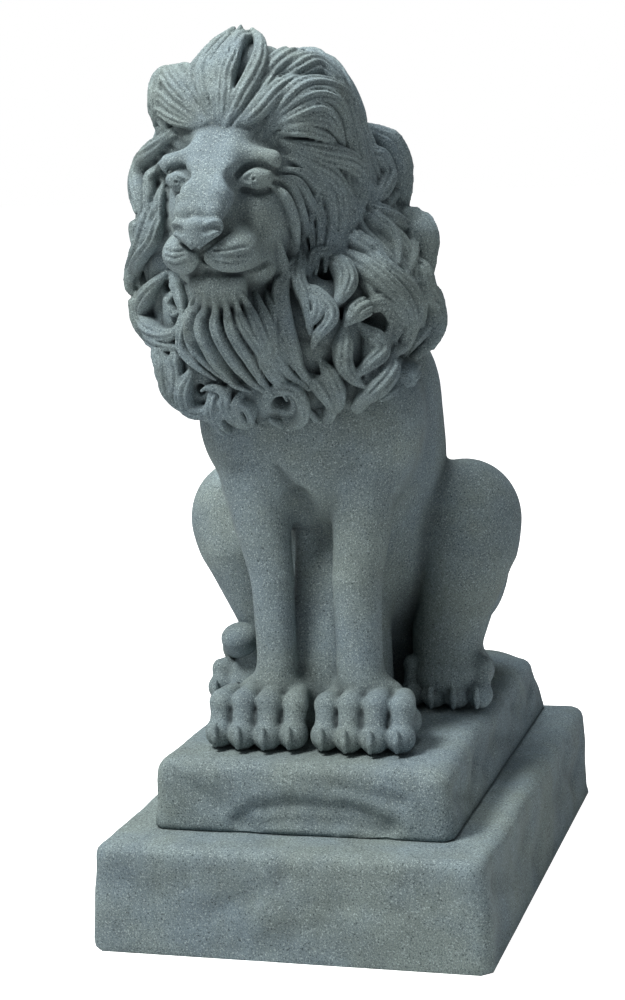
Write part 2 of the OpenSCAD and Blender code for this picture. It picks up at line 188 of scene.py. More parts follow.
def lock(path, wide, thick, out, ridges, depth, root, tip=0.22):
    """Lock of hair lying on the head: flat section, raised in ridges that run along it and taper to the tip."""
    p = path.astype(F)
    n = len(p)
    t = np.linspace(0, 1, n)
    # width along the lock: quick swell from the root, long taper to the tip
    swell = np.minimum(1, root + (1 - root) * t / 0.22)
    taper = np.minimum(1, tip + (1 - tip) * np.clip((1 - t) / 0.45, 0, 1) ** 0.8)
    s = swell * taper
    wv = (wide * s).astype(F)
    tv = (thick * np.maximum(s, 0.3)).astype(F)
    tan = np.gradient(p, axis=0)
    tan /= np.linalg.norm(tan, axis=1, keepdims=True) + 1e-9
    nrm = out - (out * tan).sum(1, keepdims=True) * tan
    nrm /= np.linalg.norm(nrm, axis=1, keepdims=True) + 1e-9
    side = np.cross(tan, nrm)

    def fn(x, y, z):
        x, y, z = np.broadcast_arrays(x, y, z)
        shape = x.shape
        q = np.stack([x.ravel(), y.ravel(), z.ravel()], 1)
        best = np.full(len(q), 1e9, F)
        idx = np.zeros(len(q), np.int32)
        par = np.zeros(len(q), F)
        for i in range(n - 1):
            a = p[i]
            ab = p[i + 1] - a
            v = q - a
            tt = np.clip(v @ ab / (ab @ ab + 1e-9), 0, 1)
            v -= tt[:, None] * ab
            dd = np.einsum("ij,ij->i", v, v)
            m = dd < best
            best[m] = dd[m]
            idx[m] = i
            par[m] = tt[m]
        j = idx + 1
        f = par[:, None]
        c = p[idx] * (1 - f) + p[j] * f
        sd = side[idx] * (1 - f) + side[j] * f
        nr = nrm[idx] * (1 - f) + nrm[j] * f
        w = wv[idx] * (1 - par) + wv[j] * par
        h = tv[idx] * (1 - par) + tv[j] * par
        v = q - c
        us = np.einsum("ij,ij->i", v, sd)
        un = np.einsum("ij,ij->i", v, nr)
        ul = np.sqrt(np.maximum(np.einsum("ij,ij->i", v, v) - us * us - un * un, 0))
        k0 = np.sqrt((us / w) ** 2 + (un / h) ** 2 + (ul / w) ** 2)
        k1 = np.sqrt((us / w ** 2) ** 2 + (un / h ** 2) ** 2 + (ul / w ** 2) ** 2)
        d = k0 * (k0 - 1) / np.maximum(k1, 1e-6)
        if ridges > 1:
            start = 0 if ridges % 2 == 0 else 0.5 * np.pi
            g = np.abs(np.sin(0.5 * np.pi * ridges * np.clip(us / w, -1.2, 1.2) + start))
            fade = np.clip(w / wide * 1.6 - 0.35, 0, 1)
            d += depth * fade * (1 - g)
        return d.reshape(shape)
    r = max(wide, thick)
    return fn, p.min(0) - r, p.max(0) + r


def probe(c, p):
    """Distance at points p, read between the grid's nodes."""
    q = (p - c.low) / c.step
    q = np.clip(q, 0, np.array(c.d.shape) - 1.001)
    i = q.astype(int)
    f = q - i
    out = 0
    for step in itertools.product((0, 1), repeat=3):
        wx, wy, wz = (f[:, k] if step[k] else 1 - f[:, k] for k in range(3))
        out = out + wx * wy * wz * c.d[i[:, 0] + step[0], i[:, 1] + step[1], i[:, 2] + step[2]]
    return out


def outward(c, p):
    """Direction in which the clay's surface faces near points p."""
    h = 4.0
    g = np.stack([probe(c, p + h * e) - probe(c, p - h * e) for e in np.eye(3)], 1)
    return g / (np.linalg.norm(g, axis=1, keepdims=True) + 1e-9)


def settle(c, start, way, reach=520.0):
    """Slide each start point along its way until it meets the clay, or to where it passes closest."""
    t = np.arange(0, reach, 1.5)
    out = []
    for s, w in zip(start, way):
        line = s + t[:, None] * w
        d = probe(c, line)
        hit = np.nonzero(d <= 0)[0]
        k = hit[0] if len(hit) else int(np.argmin(d))
        out.append(line[k])
    return np.array(out)


def smooth_path(p):
    """Even out a path twice, its two ends kept."""
    for _ in range(2):
        p[1:-1] = 0.5 * p[1:-1] + 0.25 * (p[:-2] + p[2:])
    return p


def drape(c, turn_deg, marks, lift, n=22):
    """Lay a drawn line on the clay, seen from a plane turned by an angle, and lift it off by a little."""
    a = math.radians(turn_deg)
    u, way = np.array([math.cos(a), math.sin(a), 0]), np.array([-math.sin(a), math.cos(a), 0])
    m = curve([(x, y) for x, y in marks], n)
    start = m[:, :1] * u + m[:, 1:] * np.array([0, 0, 1.0]) - 260 * way
    p = smooth_path(settle(c, start, np.repeat(way[None], n, 0)))
    o = outward(c, p)
    rise = np.clip(0.05 + np.linspace(0, 1, n) / 0.28, 0, 1)[:, None] if lift > 0 else 1
    return p + lift * rise * o, o.astype(F)


# ---------------------------------------------------------------- body


def toe(c, x, mid, heel, front, top, r):
    """One toe of a paw about mid: an upper knuckle, a pad below it and a short claw."""
    c.add(limb((x * 0.9 + mid * 0.1, heel, top), r * 0.8, (x, front + 22, top - 2), r * 0.95), 2.2)
    c.add(limb((x, front + 21, top - 3), r * 0.8, (x, front + 15, 160), r * 0.8), 1.6)
    c.add(egg((x, front + 12.5, 156), (r * 1.05, r * 1.1, r * 1.08)), 1.6)
    c.add(limb((x, front - 0.5, 164), 2.6, (x, front - 2.5, 156), 3.2), 0.6)
    c.add(limb((x, front - 2.5, 156), 3.2, (x, front - 1, 148), 2.2), 0.6)


def model_body(step):
    """Torso and legs in one block of clay, the tail in another, both cut level with the plinth's top."""
    c = Clay((-170, -200, 130), (170, 240, 470), step)
    # neck, chest, barrel and rump
    c.add(egg((-16, -56, 404), (78, 64, 84)))
    c.add(egg((4, -8, 412), (81, 64, 84)), 14)
    c.add(egg((34, 4, 372), (49, 58, 60)), 14)
    c.add(limb((-4, -36, 384), 76, (0, 46, 300), 80), 20)
    c.add(limb((0, 40, 300), 80, (0, 112, 218), 86), 20)
    c.add(limb((0, 112, 205), 84, (0, 108, 150), 82), 16)
    # mass under the belly and the web between the forelegs
    c.add(limb((-4, -14, 300), 38, (-4, -14, 140), 40), 16)
    # shoulders and forelegs
    c.add(egg((-62, -74, 396), (38, 38, 54), turn(deg_y=-14)), 18)
    c.add(egg((52, -70, 396), (34, 38, 52), turn(deg_y=10)), 18)
    for a, r1, b, r2, e, r3, f, r4 in (
            ((-53, -89, 350), 27, (-39, -99, 275), 17.5, (-37, -104, 206), 16, (-39, -108, 180), 20),
            ((38, -82, 348), 27, (32, -98, 275), 20, (33, -104, 206), 18.5, (37, -108, 180), 21)):
        c.add(limb(a, r1, b, r2), 12)
        c.add(limb(b, r2, e, r3), 3)
        c.add(limb(e, r3, f, r4), 3)
    for x in (-18, -6, 6):
        c.add(limb((x, -60, 332), 9, (x, -90, 150), 15), 10)
    # the hollow that runs up between the forelegs to the breast
    c.cut(limb((-26, -117, 368), 4, (-13, -110, 340), 10), 5)
    c.cut(limb((-13, -108, 342), 11, (-3, -90, 300), 17), 5)
    c.cut(limb((-3, -90, 300), 17, (-4, -100, 250), 11), 7)
    # the one between the left foreleg and its haunch
    c.cut(limb((68, -84, 340), 4, (64, -62, 296), 12), 8)
    c.cut(limb((64, -62, 296), 12, (60, -52, 190), 16), 8)
    # lower end of the hollow between the forelegs
    c.cut(limb((-4, -100, 250), 11, (-4, -116, 196), 5), 7)
    # forepaws
    for s, mid in ((-1, -46), (1, 43)):
        c.add(egg((mid, -106, 160), (40, 28, 22)), 6)
        c.add(egg((mid, -122, 164), (38, 20, 17)), 4)
        c.add(egg((mid - s * 5, -102, 178), (32, 22, 20)), 8)
        for x in (-31, -10.5, 10.5, 31):
            toe(c, mid + x, mid, -112, -152 - 6 * (1 - abs(x) / 31), 184 - abs(x) * 0.12, 11.6)
    # haunches
    for s, mid, knee, size, lift in (
            (-1, -94, (-102, 32, 299), (50, 46, 54), 0),
            (1, 80, (93, 32, 300), (49, 46, 53), 8)):
        c.add(egg(knee, size, turn(deg_y=s * 10)), 8)
        c.add(egg((s * 77, 74, 257), (44, 60, 64)), 14)
        c.add(egg((s * 72, 112, 234), (38, 42, 46)), 12)
        c.add(limb((s * 98, 20, 280), 42, (s * 74, 22, 190), 24), 8)
        c.add(limb((s * 76, 22, 200), 28, (s * 82, 12, 172), 28), 12)
        # back of the shin, parted from the thigh by a groove
        c.add(limb((s * 124, 52, 286), 11, (s * 89, 48, 182), 10), 1.5)
        # hind foot
        c.add(egg((mid, 26, 160 + lift), (35, 44, 22)), 10)
        c.add(egg((mid, 10, 160), (33, 20, 15)), 4)
        for x in (-29, -9.7, 9.7, 29):
            toe(c, mid + x, mid, 6, -16 - 5 * (1 - abs(x) / 29), 172 + lift, 10.8)
    t = Clay((-170, -60, 130), (40, 240, 240), step)
    # tail, laid round the right side with its end over the right hind foot
    tail = curve([(-6, 196, 170), (-52, 192, 160), (-98, 158, 157), (-122, 104, 160), (-122, 56, 172),
                  (-112, 20, 190), (-100, -8, 200)], 14)
    for a, b in zip(tail[:-1], tail[1:]):
        t.add(limb(a, 14, b, 14), 5)
    t.add(egg((-99, -14, 203), (17, 15, 13.5)), 5)
    for clay in (c, t):
        clay.d = np.maximum(clay.d, F(FOOTING) - clay.ax[2][None, None, :])
    return c, t


# ---------------------------------------------------------------- head and mane


# Locks of the mane: half width, half thickness, lift, ridges, and the line each one follows
LOCKS = {
    "crest": [
        (8, 8, 5, 3, [(-91, 644), (-100, 660), (-103, 674), (-96, 686), (-84, 701), (-72, 710)]),
        (7, 8, 6, 3, [(-89, 643), (-93, 661), (-93, 678), (-85, 692), (-74, 706)]),
        (6.5, 8, 6, 2, [(-86, 643), (-86, 661), (-86, 677), (-80, 691), (-71, 705)]),
        (7, 8, 6, 3, [(-83, 642), (-79, 659), (-76, 677), (-70, 691), (-65, 706)]),
        (8.5, 9, 5, 3, [(-81, 640), (-70, 655), (-61, 671), (-55, 685), (-54, 699), (-60, 708)]),
        (7, 7, 3, 3, [(-74, 640), (-61, 652), (-51, 665), (-43, 678), (-41, 689)]),
        (7, 8, 6, 3, [(-85, 643), (-83, 659), (-79, 677), (-74, 693), (-67, 710)]),
        (8, 8, 3, 3, [(-74, 690), (-68, 702), (-63, 704), (-58, 709)]),
    ],
    "lump": [
        (13, 12, 6, 5,
         [(-97, 643), (-107, 659), (-118, 672), (-126, 673), (-130, 662), (-131, 652), (-136, 653)]),
        (12, 11, 2, 4,
         [(-102, 679), (-110, 680), (-120, 677), (-128, 671), (-130, 657), (-128, 642), (-132, 640)]),
        (8, 8, 7, 3, [(-101, 641), (-112, 652), (-122, 661), (-130, 663), (-135, 657), (-134, 648)]),
        (7, 7, 6, 3, [(-104, 640), (-117, 646), (-127, 653), (-132, 650), (-134, 643)]),
    ],
    "crown": [
        (8, 7.7, 4, 3, [(-70, 640), (-57, 648), (-44, 662), (-32, 670), (-24, 672)]),
        (9, 8.8, 5, 3, [(-49, 642), (-37, 655), (-23, 665), (-7, 664), (7, 657), (14, 644), (12, 629)]),
        (8, 8.8, 5, 3, [(-46, 641), (-32, 652), (-17, 658), (-3, 654), (4, 642), (6, 630), (8, 619)]),
        (7, 7.7, 5, 3, [(-46, 638), (-30, 644), (-14, 649), (-4, 641), (1, 631), (4, 622)]),
        (6, 6.6, 5, 2, [(-44, 637), (-28, 640), (-13, 640), (-3, 633), (2, 623)]),
        (6, 6.6, 5, 2, [(-42, 633), (-24, 634), (-9, 629), (0, 621)]),
        (14, 12.1, 1, 5, [(-46, 670), (-32, 678), (-15, 683), (-3, 674), (7, 660), (16, 649), (18, 635)]),
        (15, 12.1, -2, 6, [(-40, 688), (-28, 687), (-17, 683), (-4, 674), (6, 660), (15, 650), (21, 641)]),
        (12, 11, 0, 4, [(-53, 670), (-40, 684), (-28, 690), (-15, 696)]),
    ],
    "cheek": [
        (10, 9, 6, 4, [(-39, 626), (-20, 621), (0, 614), (13, 602), (16, 588), (9, 568), (4, 551), (2, 533)]),
        (8, 8, 6, 3, [(-37, 620), (-19, 612), (-5, 600), (2, 582), (2, 565), (-3, 539), (-7, 525)]),
        (6.5, 7, 6, 2, [(-39, 615), (-26, 608), (-13, 596), (-6, 580), (-5, 562), (-9, 540), (-12, 521)]),
        (5.5, 6, 5, 2, [(-42, 605), (-30, 602), (-19, 590), (-13, 574), (-12, 557), (-15, 538), (-19, 520)]),
        (5, 5.5, 5, 2, [(-43, 599), (-34, 596), (-26, 582), (-19, 564), (-18, 546), (-22, 526)]),
        (4.5, 5, 5, 2, [(-46, 600), (-38, 593), (-33, 580), (-30, 564), (-30, 545), (-32, 527)]),
        (4, 5, 5, 1, [(-50, 595), (-42, 585), (-37, 570), (-36, 553), (-38, 533)]),
        (5, 5, 4, 2, [(-35, 581), (-29, 563), (-26, 545), (-27, 526), (-29, 512)]),
    ],
    "lobe": [
        (13.2, 13.8, 5.5, 5, [(22, 636), (30, 626), (40, 612), (45, 596), (47, 580), (43, 566), (33, 555)]),
        (9.9, 12.5, 7.5, 4, [(24, 631), (36, 622), (44, 608), (46, 594), (40, 579), (29, 567)]),
        (11, 12.5, 7.5, 4, [(21, 618), (27, 607), (32, 594), (29, 582), (22, 577)]),
        (9.9, 11.2, 2.5, 4, [(39, 628), (44, 613), (49, 596), (49, 583), (52, 570), (49, 553)]),
        (13.2, 13.8, 4.5, 5, [(53, 569), (54, 558), (62, 545), (68, 530), (69, 512)]),
        (9.9, 11.2, 6.5, 4, [(54, 564), (63, 553), (67, 540), (64, 524), (56, 511)]),
        (8.8, 10, 7.5, 3, [(17, 581), (23, 568), (39, 556), (50, 543), (54, 531), (49, 517)]),
        (8.8, 10, 8.5, 3, [(20, 572), (22, 560), (33, 548), (41, 536), (42, 524)]),
        (8.8, 10, 8.5, 3, [(7, 558), (11, 545), (21, 536), (31, 527), (36, 514)]),
    ],
    "ruff": [
        (9.9, 11.2, 7.5, 4, [(-9, 534), (0, 523), (3, 513), (-1, 504), (-6, 498)]),
        (11, 12.5, 8.5, 4,
         [(-2, 541), (11, 530), (24, 517), (37, 505), (45, 490), (45, 473), (35, 459), (28, 448)]),
        (9.9, 12.5, 7.5, 4,
         [(8, 548), (20, 533), (31, 520), (45, 508), (51, 495), (48, 478), (41, 459), (35, 447)]),
        (11, 12.5, 5.5, 4, [(51, 533), (58, 521), (60, 510), (64, 497), (73, 481), (69, 464), (52, 450)]),
        (8.8, 10, 7.5, 3, [(54, 520), (64, 503), (69, 490), (65, 479), (52, 467), (46, 457)]),
        (9.9, 11.2, 3.5, 4, [(71, 546), (68, 531), (63, 517), (61, 506), (70, 491), (78, 474), (70, 457)]),
        (8.8, 10, 7.5, 3, [(13, 483), (21, 471), (24, 457), (16, 449), (6, 442)]),
        (8.8, 10, 6.5, 3, [(2, 484), (-2, 468), (-1, 455), (7, 442), (14, 436)]),
        (9.9, 11.2, 6.5, 4, [(34, 454), (29, 442), (18, 431), (6, 422)]),
        (8.8, 10, 5.5, 3, [(48, 450), (49, 442), (38, 432), (25, 425)]),
        (7.7, 10, 6.5, 3, [(-18, 458), (-9, 443), (-3, 430), (-4, 420)]),
        (7.7, 8.75, 6.5, 3, [(-26, 446), (-18, 433), (-11, 421)]),
        (7.7, 8.75, 7.5, 3, [(-32, 515), (-22, 507), (-11, 496), (-11, 487), (-20, 478), (-24, 469)]),
        (6.6, 8.75, 6.5, 2, [(-27, 511), (-19, 499), (-21, 490), (-27, 484)]),
        (9.9, 10, 5.5, 4, [(19, 496), (9, 492), (1, 484)]),
    ],
    "beard": [
        (7.3, 9.1, 5.5, 3, [(-30, 550), (-32, 529), (-32, 515), (-27, 504), (-25, 490), (-25, 479)]),
        (6.26, 9.1, 5.5, 2, [(-36, 552), (-40, 529), (-44, 508), (-41, 487), (-35, 468), (-32, 449)]),
        (6.26, 9.1, 5.5, 2,
         [(-45, 553), (-46, 530), (-48, 508), (-45, 489), (-38, 472), (-34, 453), (-21, 433), (-14, 421)]),
        (5.22, 7.8, 4.5, 2, [(-109, 516), (-117, 491), (-122, 477), (-120, 464), (-108, 452), (-99, 445)]),
        (5.22, 7.8, 5.5, 2, [(-106, 516), (-110, 491), (-111, 475), (-105, 460), (-90, 444)]),
        (5.74, 7.8, 5.5, 2, [(-101, 516), (-104, 491), (-99, 476), (-92, 458), (-84, 442), (-71, 435)]),
        (5.74, 7.8, 6.5, 2, [(-95, 516), (-94, 492), (-88, 476), (-78, 458), (-68, 442), (-58, 432)]),
        (5.74, 7.8, 6.5, 2, [(-88, 515), (-85, 491), (-78, 475), (-67, 457), (-61, 443), (-54, 431)]),
        (5.74, 7.8, 6.5, 2, [(-81, 515), (-78, 493), (-70, 478), (-61, 462), (-54, 446), (-44, 428)]),
        (6.26, 7.8, 6.5, 2, [(-75, 514), (-71, 495), (-64, 476), (-54, 458), (-46, 442), (-33, 428)]),
        (6.26, 7.8, 5.5, 2, [(-66, 513), (-64, 495), (-58, 477), (-49, 462), (-39, 446), (-28, 434)]),
        (6.26, 7.8, 4.5, 2, [(-56, 512), (-56, 497), (-52, 481), (-43, 465), (-33, 448)]),
    ],
    "left": [
        (8, 9, 5, 3,
         [(-141, 592), (-143, 576), (-148, 559), (-152, 547), (-161, 532), (-165, 516), (-159, 508)]),
        (7, 8, 6, 3, [(-135, 580), (-138, 566), (-143, 553), (-154, 539), (-158, 526), (-155, 515)]),
        (8, 9, 6, 3,
         [(-136, 528), (-146, 517), (-152, 500), (-150, 486), (-138, 478), (-125, 482), (-122, 492)]),
        (5, 6, 4, 2, [(-131, 512), (-133, 502), (-128, 495), (-123, 498)]),
        (6, 6, 4, 2, [(-133, 528), (-126, 514), (-122, 501), (-121, 485)]),
        (9, 9, 3, 3, [(-162, 510), (-160, 500), (-159, 485), (-154, 469)]),
        (8, 8, 4, 3, [(-154, 479), (-142, 472), (-126, 469)]),
        (10, 9, 3, 4, [(-142, 472), (-142, 465), (-141, 460), (-139, 452), (-138, 432), (-126, 418)]),
        (7, 7, 4, 3, [(-132, 469), (-130, 455), (-131, 440), (-138, 431)]),
        (8, 9, 5, 3, [(-117, 454), (-124, 440), (-124, 427), (-116, 421), (-107, 421), (-104, 435)]),
        (9, 9, 3, 3, [(-154, 572), (-155, 561), (-153, 550), (-152, 542)]),
    ],
    "curl": [
        (7, 8, 5, 3, [(-98, 441), (-103, 425), (-99, 409), (-88, 400), (-73, 398)]),
        (6, 7, 6, 2, [(-89, 440), (-93, 426), (-86, 414), (-75, 405)]),
        (6, 7, 5, 2, [(-80, 435), (-83, 422), (-78, 412), (-70, 409)]),
    ],
    "temple": [
        (8, 8, 3, 3,
         [(-120, 641), (-133, 630), (-145, 619), (-154, 606), (-158, 594), (-158, 582), (-156, 575)]),
        (7, 8, 4, 3,
         [(-122, 635), (-138, 626), (-150, 614), (-154, 600), (-152, 587), (-150, 573), (-152, 562)]),
        (5.5, 6, 5, 2, [(-134, 614), (-142, 602), (-143, 588), (-145, 574), (-147, 562)]),
        (5, 5, 4, 2, [(-135, 598), (-135, 584), (-136, 573), (-140, 562)]),
    ],
    "ring": [
        (6.5, 9, 5, 2,
         [(-63, 431), (-52, 437), (-40, 436), (-33, 428), (-33, 418), (-40, 410), (-51, 409), (-59, 415)]),
        (5.5, 8, 4, 2,
         [(-116, 422), (-109, 416), (-100, 417), (-93, 424), (-92, 432), (-97, 438), (-105, 439), (-111, 436)]),
        (5, 8, 3, 2,
         [(-96, 418), (-91, 424), (-82, 426), (-75, 424), (-72, 418), (-75, 410), (-81, 405), (-88, 406)]),
        (6, 8, 4, 2,
         [(-14, 440), (-11, 434), (-10, 425), (-12, 418), (-16, 412), (-21, 411), (-26, 415), (-29, 421)]),
        (7, 10, 5, 3,
         [(12, 490), (20, 498), (30, 498), (37, 491), (39, 480), (34, 471), (26, 469), (18, 474)]),
        (6, 9, 4, 2,
         [(-23, 520), (-22, 528), (-17, 535), (-10, 537), (-3, 534), (0, 528), (0, 520), (-4, 515)]),
    ],
}

# Deep hollows between the locks: place on the drawing plane and radius
HOLLOWS = [(25, 482, 11), (-50, 421, 8), (-129, 502, 7), (-114, 435, 5), (-10, 525, 8), (-138, 517, 5),
           (4, 493, 6)]

# Middle planes of the skull and of the nose, how far the drawing plane of the locks is turned,
# and the head's block
SKULL_X = -46.0
NOSE_X = -50.0
LOCK_TURN = 16
HEAD_BLOCK = ((-165, -236, 390), (120, 90, 722))


def both(c, make, blend):
    """The same shape on both sides of the face."""
    for s in (-1, 1):
        c.add(make(s), blend)


def bore(c, points, radii, blend, n):
    """Carve along a path of points whose radius runs through the radii."""
    m = curve(points, n)
    r = np.interp(np.linspace(0, 1, n), np.linspace(0, 1, len(radii)), radii)
    for i in range(n - 1):
        c.cut(limb(m[i], r[i], m[i + 1], r[i + 1]), blend)


def scratch(c, marks, radius, blend, sink=0.0, n=14):
    """Groove drawn on the front of the face: the marks are x and z, and the depth follows the clay."""
    p = drape(c, 0, marks, -sink, n)[0]
    for i in range(n - 1):
        c.cut(limb(p[i], radius, p[i + 1], radius), blend)


def model_face(c):
    """Skull, brow, nose, muzzle, chin and eyes."""
    x, m = SKULL_X, NOSE_X
    c.add(egg((x + 4, -100, 598), (56, 60, 54)))
    c.add(egg((x + 1, -128, 588), (46, 36, 42)), 14)
    # forehead, sloping back under the roots of the hair
    c.add(egg((x + 3, -116, 628), (44, 42, 28), turn(deg_x=-22)), 12)
    # cheeks and jaw
    both(c, lambda s: egg((x + s * 27, -131, 570), (21, 34, 36)), 16)
    c.add(limb((x - 1, -130, 542), 35, (m, -168, 536), 23), 14)
    # nose: a core, then a broad flat bridge from the brow to the pad
    c.add(limb((x, -138, 592), 27, (m, -178, 562), 18), 8)
    c.add(limb((x, -146, 606), 20, (m, -184, 572), 15), 6)
    both(c, lambda s: limb((x + s * 10, -153, 626), 11, (m + 2 + s * 11, -189, 588), 10.5), 10)
    both(c, lambda s: limb((m + 2 + s * 11, -186, 590), 10.5, (m + s * 11.5, -198, 576), 8.5), 5)
    c.add(limb((x, -153, 624), 12, (m, -196, 577), 10), 5)
    # brows
    both(c, lambda s: limb((x + s * 14, -161, 619), 7.5, (x + s * 41, -155, 613), 8), 9)
    # muzzle
    both(c, lambda s: egg((m + 1 + s * 16, -185, 545), (20, 23, 15.5), turn(deg_z=s * -12)), 4)
    both(c, lambda s: egg((m + 1 + s * 20, -168, 548), (16, 23, 16)), 10)
    # chin
    c.add(egg((m + 4, -178, 522), (22, 19, 12)), 3)
    both(c, lambda s: egg((m + 3 + s * 27, -148, 531), (11, 18, 11)), 12)
    c.add(egg((m + 4, -170, 513), (20, 18, 12)), 8)
    # nose pad: a shield with a flat top, drawn down to the lip
    c.add(limb((m - 13, -204, 566), 7.5, (m + 13, -204, 566), 7.5), 2)
    both(c, lambda s: limb((m + s * 12.5, -207, 564), 6.5, (m, -211, 553), 4.2), 1.5)
    c.add(limb((m, -208, 565), 8.5, (m, -210, 556), 6), 2)
    # eyes: lids, opening and eyeball
    for s in (-1, 1):
        e = vec(x + s * 31, -164.5, 600)
        slant = turn(deg_z=s * 22, deg_y=s * -4)
        c.cut(egg((x + s * 21, -182, 600), (7, 9, 8)), 8)
        c.cut(egg((x + s * 33, -181, 595), (12, 7, 6), turn(deg_z=s * 24)), 9)
        c.add(egg(e + vec(-s * 0.5, 2, 0), (13, 9.5, 7.2), slant), 6)
        c.cut(egg(e + vec(-s * 0.5, -9, -0.5), (10.5, 6.5, 4), slant), 0.8)
        c.add(egg(e + vec(0, 2.5, 0), (9.5, 9.3, 8.5)), 0.4)
        iris = [(e[0] + 4.0 * math.cos(t), e[2] - 0.5 + 4.0 * math.sin(t))
                for t in np.linspace(0, 2 * math.pi, 9)]
        scratch(c, iris, 0.45, 1.0, 0.0, 20)
        c.cut(limb((e[0], -178, e[2] - 0.5), 1.6, (e[0], -170, e[2] - 0.5), 1.6), 0.6)
        # folds above and below the lids
        scratch(c, [(e[0] - s * 13, e[2] + 2), (e[0] - s * 6, e[2] + 9), (e[0] + s * 5, e[2] + 10),
                    (e[0] + s * 16, e[2] + 3)], 0.8, 4)
        scratch(c, [(e[0] - s * 11, e[2] - 8), (e[0], e[2] - 11.5), (e[0] + s * 11, e[2] - 9)], 0.4, 4)
    # nostrils, parting of the lip, mouth and whiskers
    for s in (-1, 1):
        bore(c, [(m + s * 7.5, -218, 561), (m + s * 11, -214, 564), (m + s * 17, -210, 566),
                 (m + s * 21, -203, 563)],
             (1.8, 3.6, 3, 1.6), 1.2, 10)
        scratch(c, [(m + s * 21, 562), (m + s * 15, 556), (m + s * 8, 551), (m + s * 2, 548)], 1.0, 2)
        scratch(c, [(m + 1, 540), (m + 2 + s * 7, 533), (m + 3 + s * 17, 529), (m + 3 + s * 28, 530),
                    (m + 3 + s * 37, 536)], 1.5, 2.5, 0.4, 20)
        for k in range(3):
            scratch(c, [(m + 1 + s * 11, 549 - k * 4.0), (m + 1 + s * 20, 548 - k * 4.6),
                        (m + 3 + s * 32, 550 - k * 5)], 0.4, 2.0)
    scratch(c, [(m, 551), (m + 1, 540)], 1.2, 2.5, 0.5)


def mane_base(c):
    """Masses of the mane that the locks lie on."""
    c.add(egg((-42, -90, 636), (74, 58, 62)))
    c.add(egg((-100, -86, 656), (22, 32, 22)), 16)
    c.add(egg((-36, -104, 670), (34, 30, 36)), 10)
    c.add(egg((-8, -64, 640), (39, 46, 53)), 10)
    c.add(egg((-100, -82, 556), (40, 50, 84)), 20)
    c.add(egg((12, -54, 572), (31, 52, 74)), 20)
    c.add(egg((34, -50, 500), (44, 52, 56)), 20)
    c.add(egg((-36, -90, 480), (92, 60, 64)), 20)
    c.add(egg((-84, -90, 446), (48, 48, 42)), 14)
    c.add(limb((-66, -104, 436), 30, (34, -92, 440), 30), 14)
    c.add(egg((-24, -26, 540), (72, 60, 104)), 24)
    c.add(egg((-44, -148, 490), (29, 27, 26)), 12)
    c.add(egg((-20, -112, 431), (44, 26, 21)), 10)


def strands(c):
    """Fine strands over the whole mane, away from the face and down the back."""
    i, j, k = np.nonzero(np.abs(c.d) < 9)
    x, y, z = c.ax[0][i], c.ax[1][j], c.ax[2][k]
    r = np.sqrt((x - SKULL_X) ** 2 + (z - 600) ** 2)
    front = np.arctan2(z - 600, x - SKULL_X) * 16 + 1.6 * np.sin(r / 17 + y / 30)
    back = np.arctan2(y + 40, x + 14) * 15 + 1.8 * np.sin(z / 21 + x / 26)
    w = np.clip((y + 70) / 30, 0, 1)
    g = (1 - w) * np.abs(np.sin(front)) + w * np.abs(np.sin(back))
    c.d[i, j, k] += (1.9 * (1 - g) ** 1.5).astype(F)


def comb(c, b, around, high, low, seed, sway=7, wide=14, thick=10):
    """One lock of the back of the mane, laid along the head from a higher to a lower angle."""
    rng = np.random.default_rng(seed)
    t = np.linspace(0, 1, 20)
    th = np.radians(around + sway * np.sin(t * 5.2 + rng.uniform(0, 6)) * (0.4 + t) + rng.uniform(-6, 6) * t)
    ph = np.radians(high + (low - high) * t)
    d = np.stack([np.cos(ph) * np.cos(th), np.cos(ph) * np.sin(th), np.sin(ph)], 1)
    p = smooth_path(settle(b, vec(-16, -46, 556) + 300 * d, -d, 320))
    o = outward(b, p)
    c.add(lock(p + (thick * 0.18) * o, wide, thick, o.astype(F), 3, 2.2, 0.6), 0.8)


def model_head(step):
    """Head and mane in clay; a coarser, plain copy carries the lines of the locks."""
    b = Clay(*HEAD_BLOCK, 3.0)
    mane_base(b)
    c = Clay(*HEAD_BLOCK, step)
    mane_base(c)
    strands(c)
    seed = 0
    for row, (high, low) in enumerate(((86, 40), (62, 12), (36, -14), (10, -38), (-16, -62))):
        for around in range(-40 + 9 * (row % 2), 200, 19):
            seed += 1
            comb(c, b, around, high, low, seed)
    model_face(c)
    model_face(b)
    for x, z, r in HOLLOWS:
        p, o = drape(b, LOCK_TURN, [(x, z), (x + 1, z)], 4, 2)
        c.cut(limb(p[0], r, p[0] - 24 * o[0], r * 0.4), 4)
    for rows in LOCKS.values():
        for w, h, lift, ridges, marks in rows:
            p, o = drape(b, LOCK_TURN, marks, lift)
            c.add(lock(p, w, h, o, ridges, 2.4, 0.3), 1.0)
    return c


# ---------------------------------------------------------------- casting the clay


def soften(d, reach):
    """Mean of the distances over a small cube round each node of the grid."""
    out = np.clip(d, -16, 16).astype(np.float64)
    for axis in range(3):
        pad = [(0, 0)] * 3
        pad[axis] = (reach + 1, reach)
        run = np.cumsum(np.pad(out, pad, mode="edge"), axis=axis)
        n = out.shape[axis]
        hi = np.take(run, np.arange(2 * reach + 1, 2 * reach + 1 + n), axis=axis)
        lo = np.take(run, np.arange(0, n), axis=axis)
        out = (hi - lo) / (2 * reach + 1)
    return out


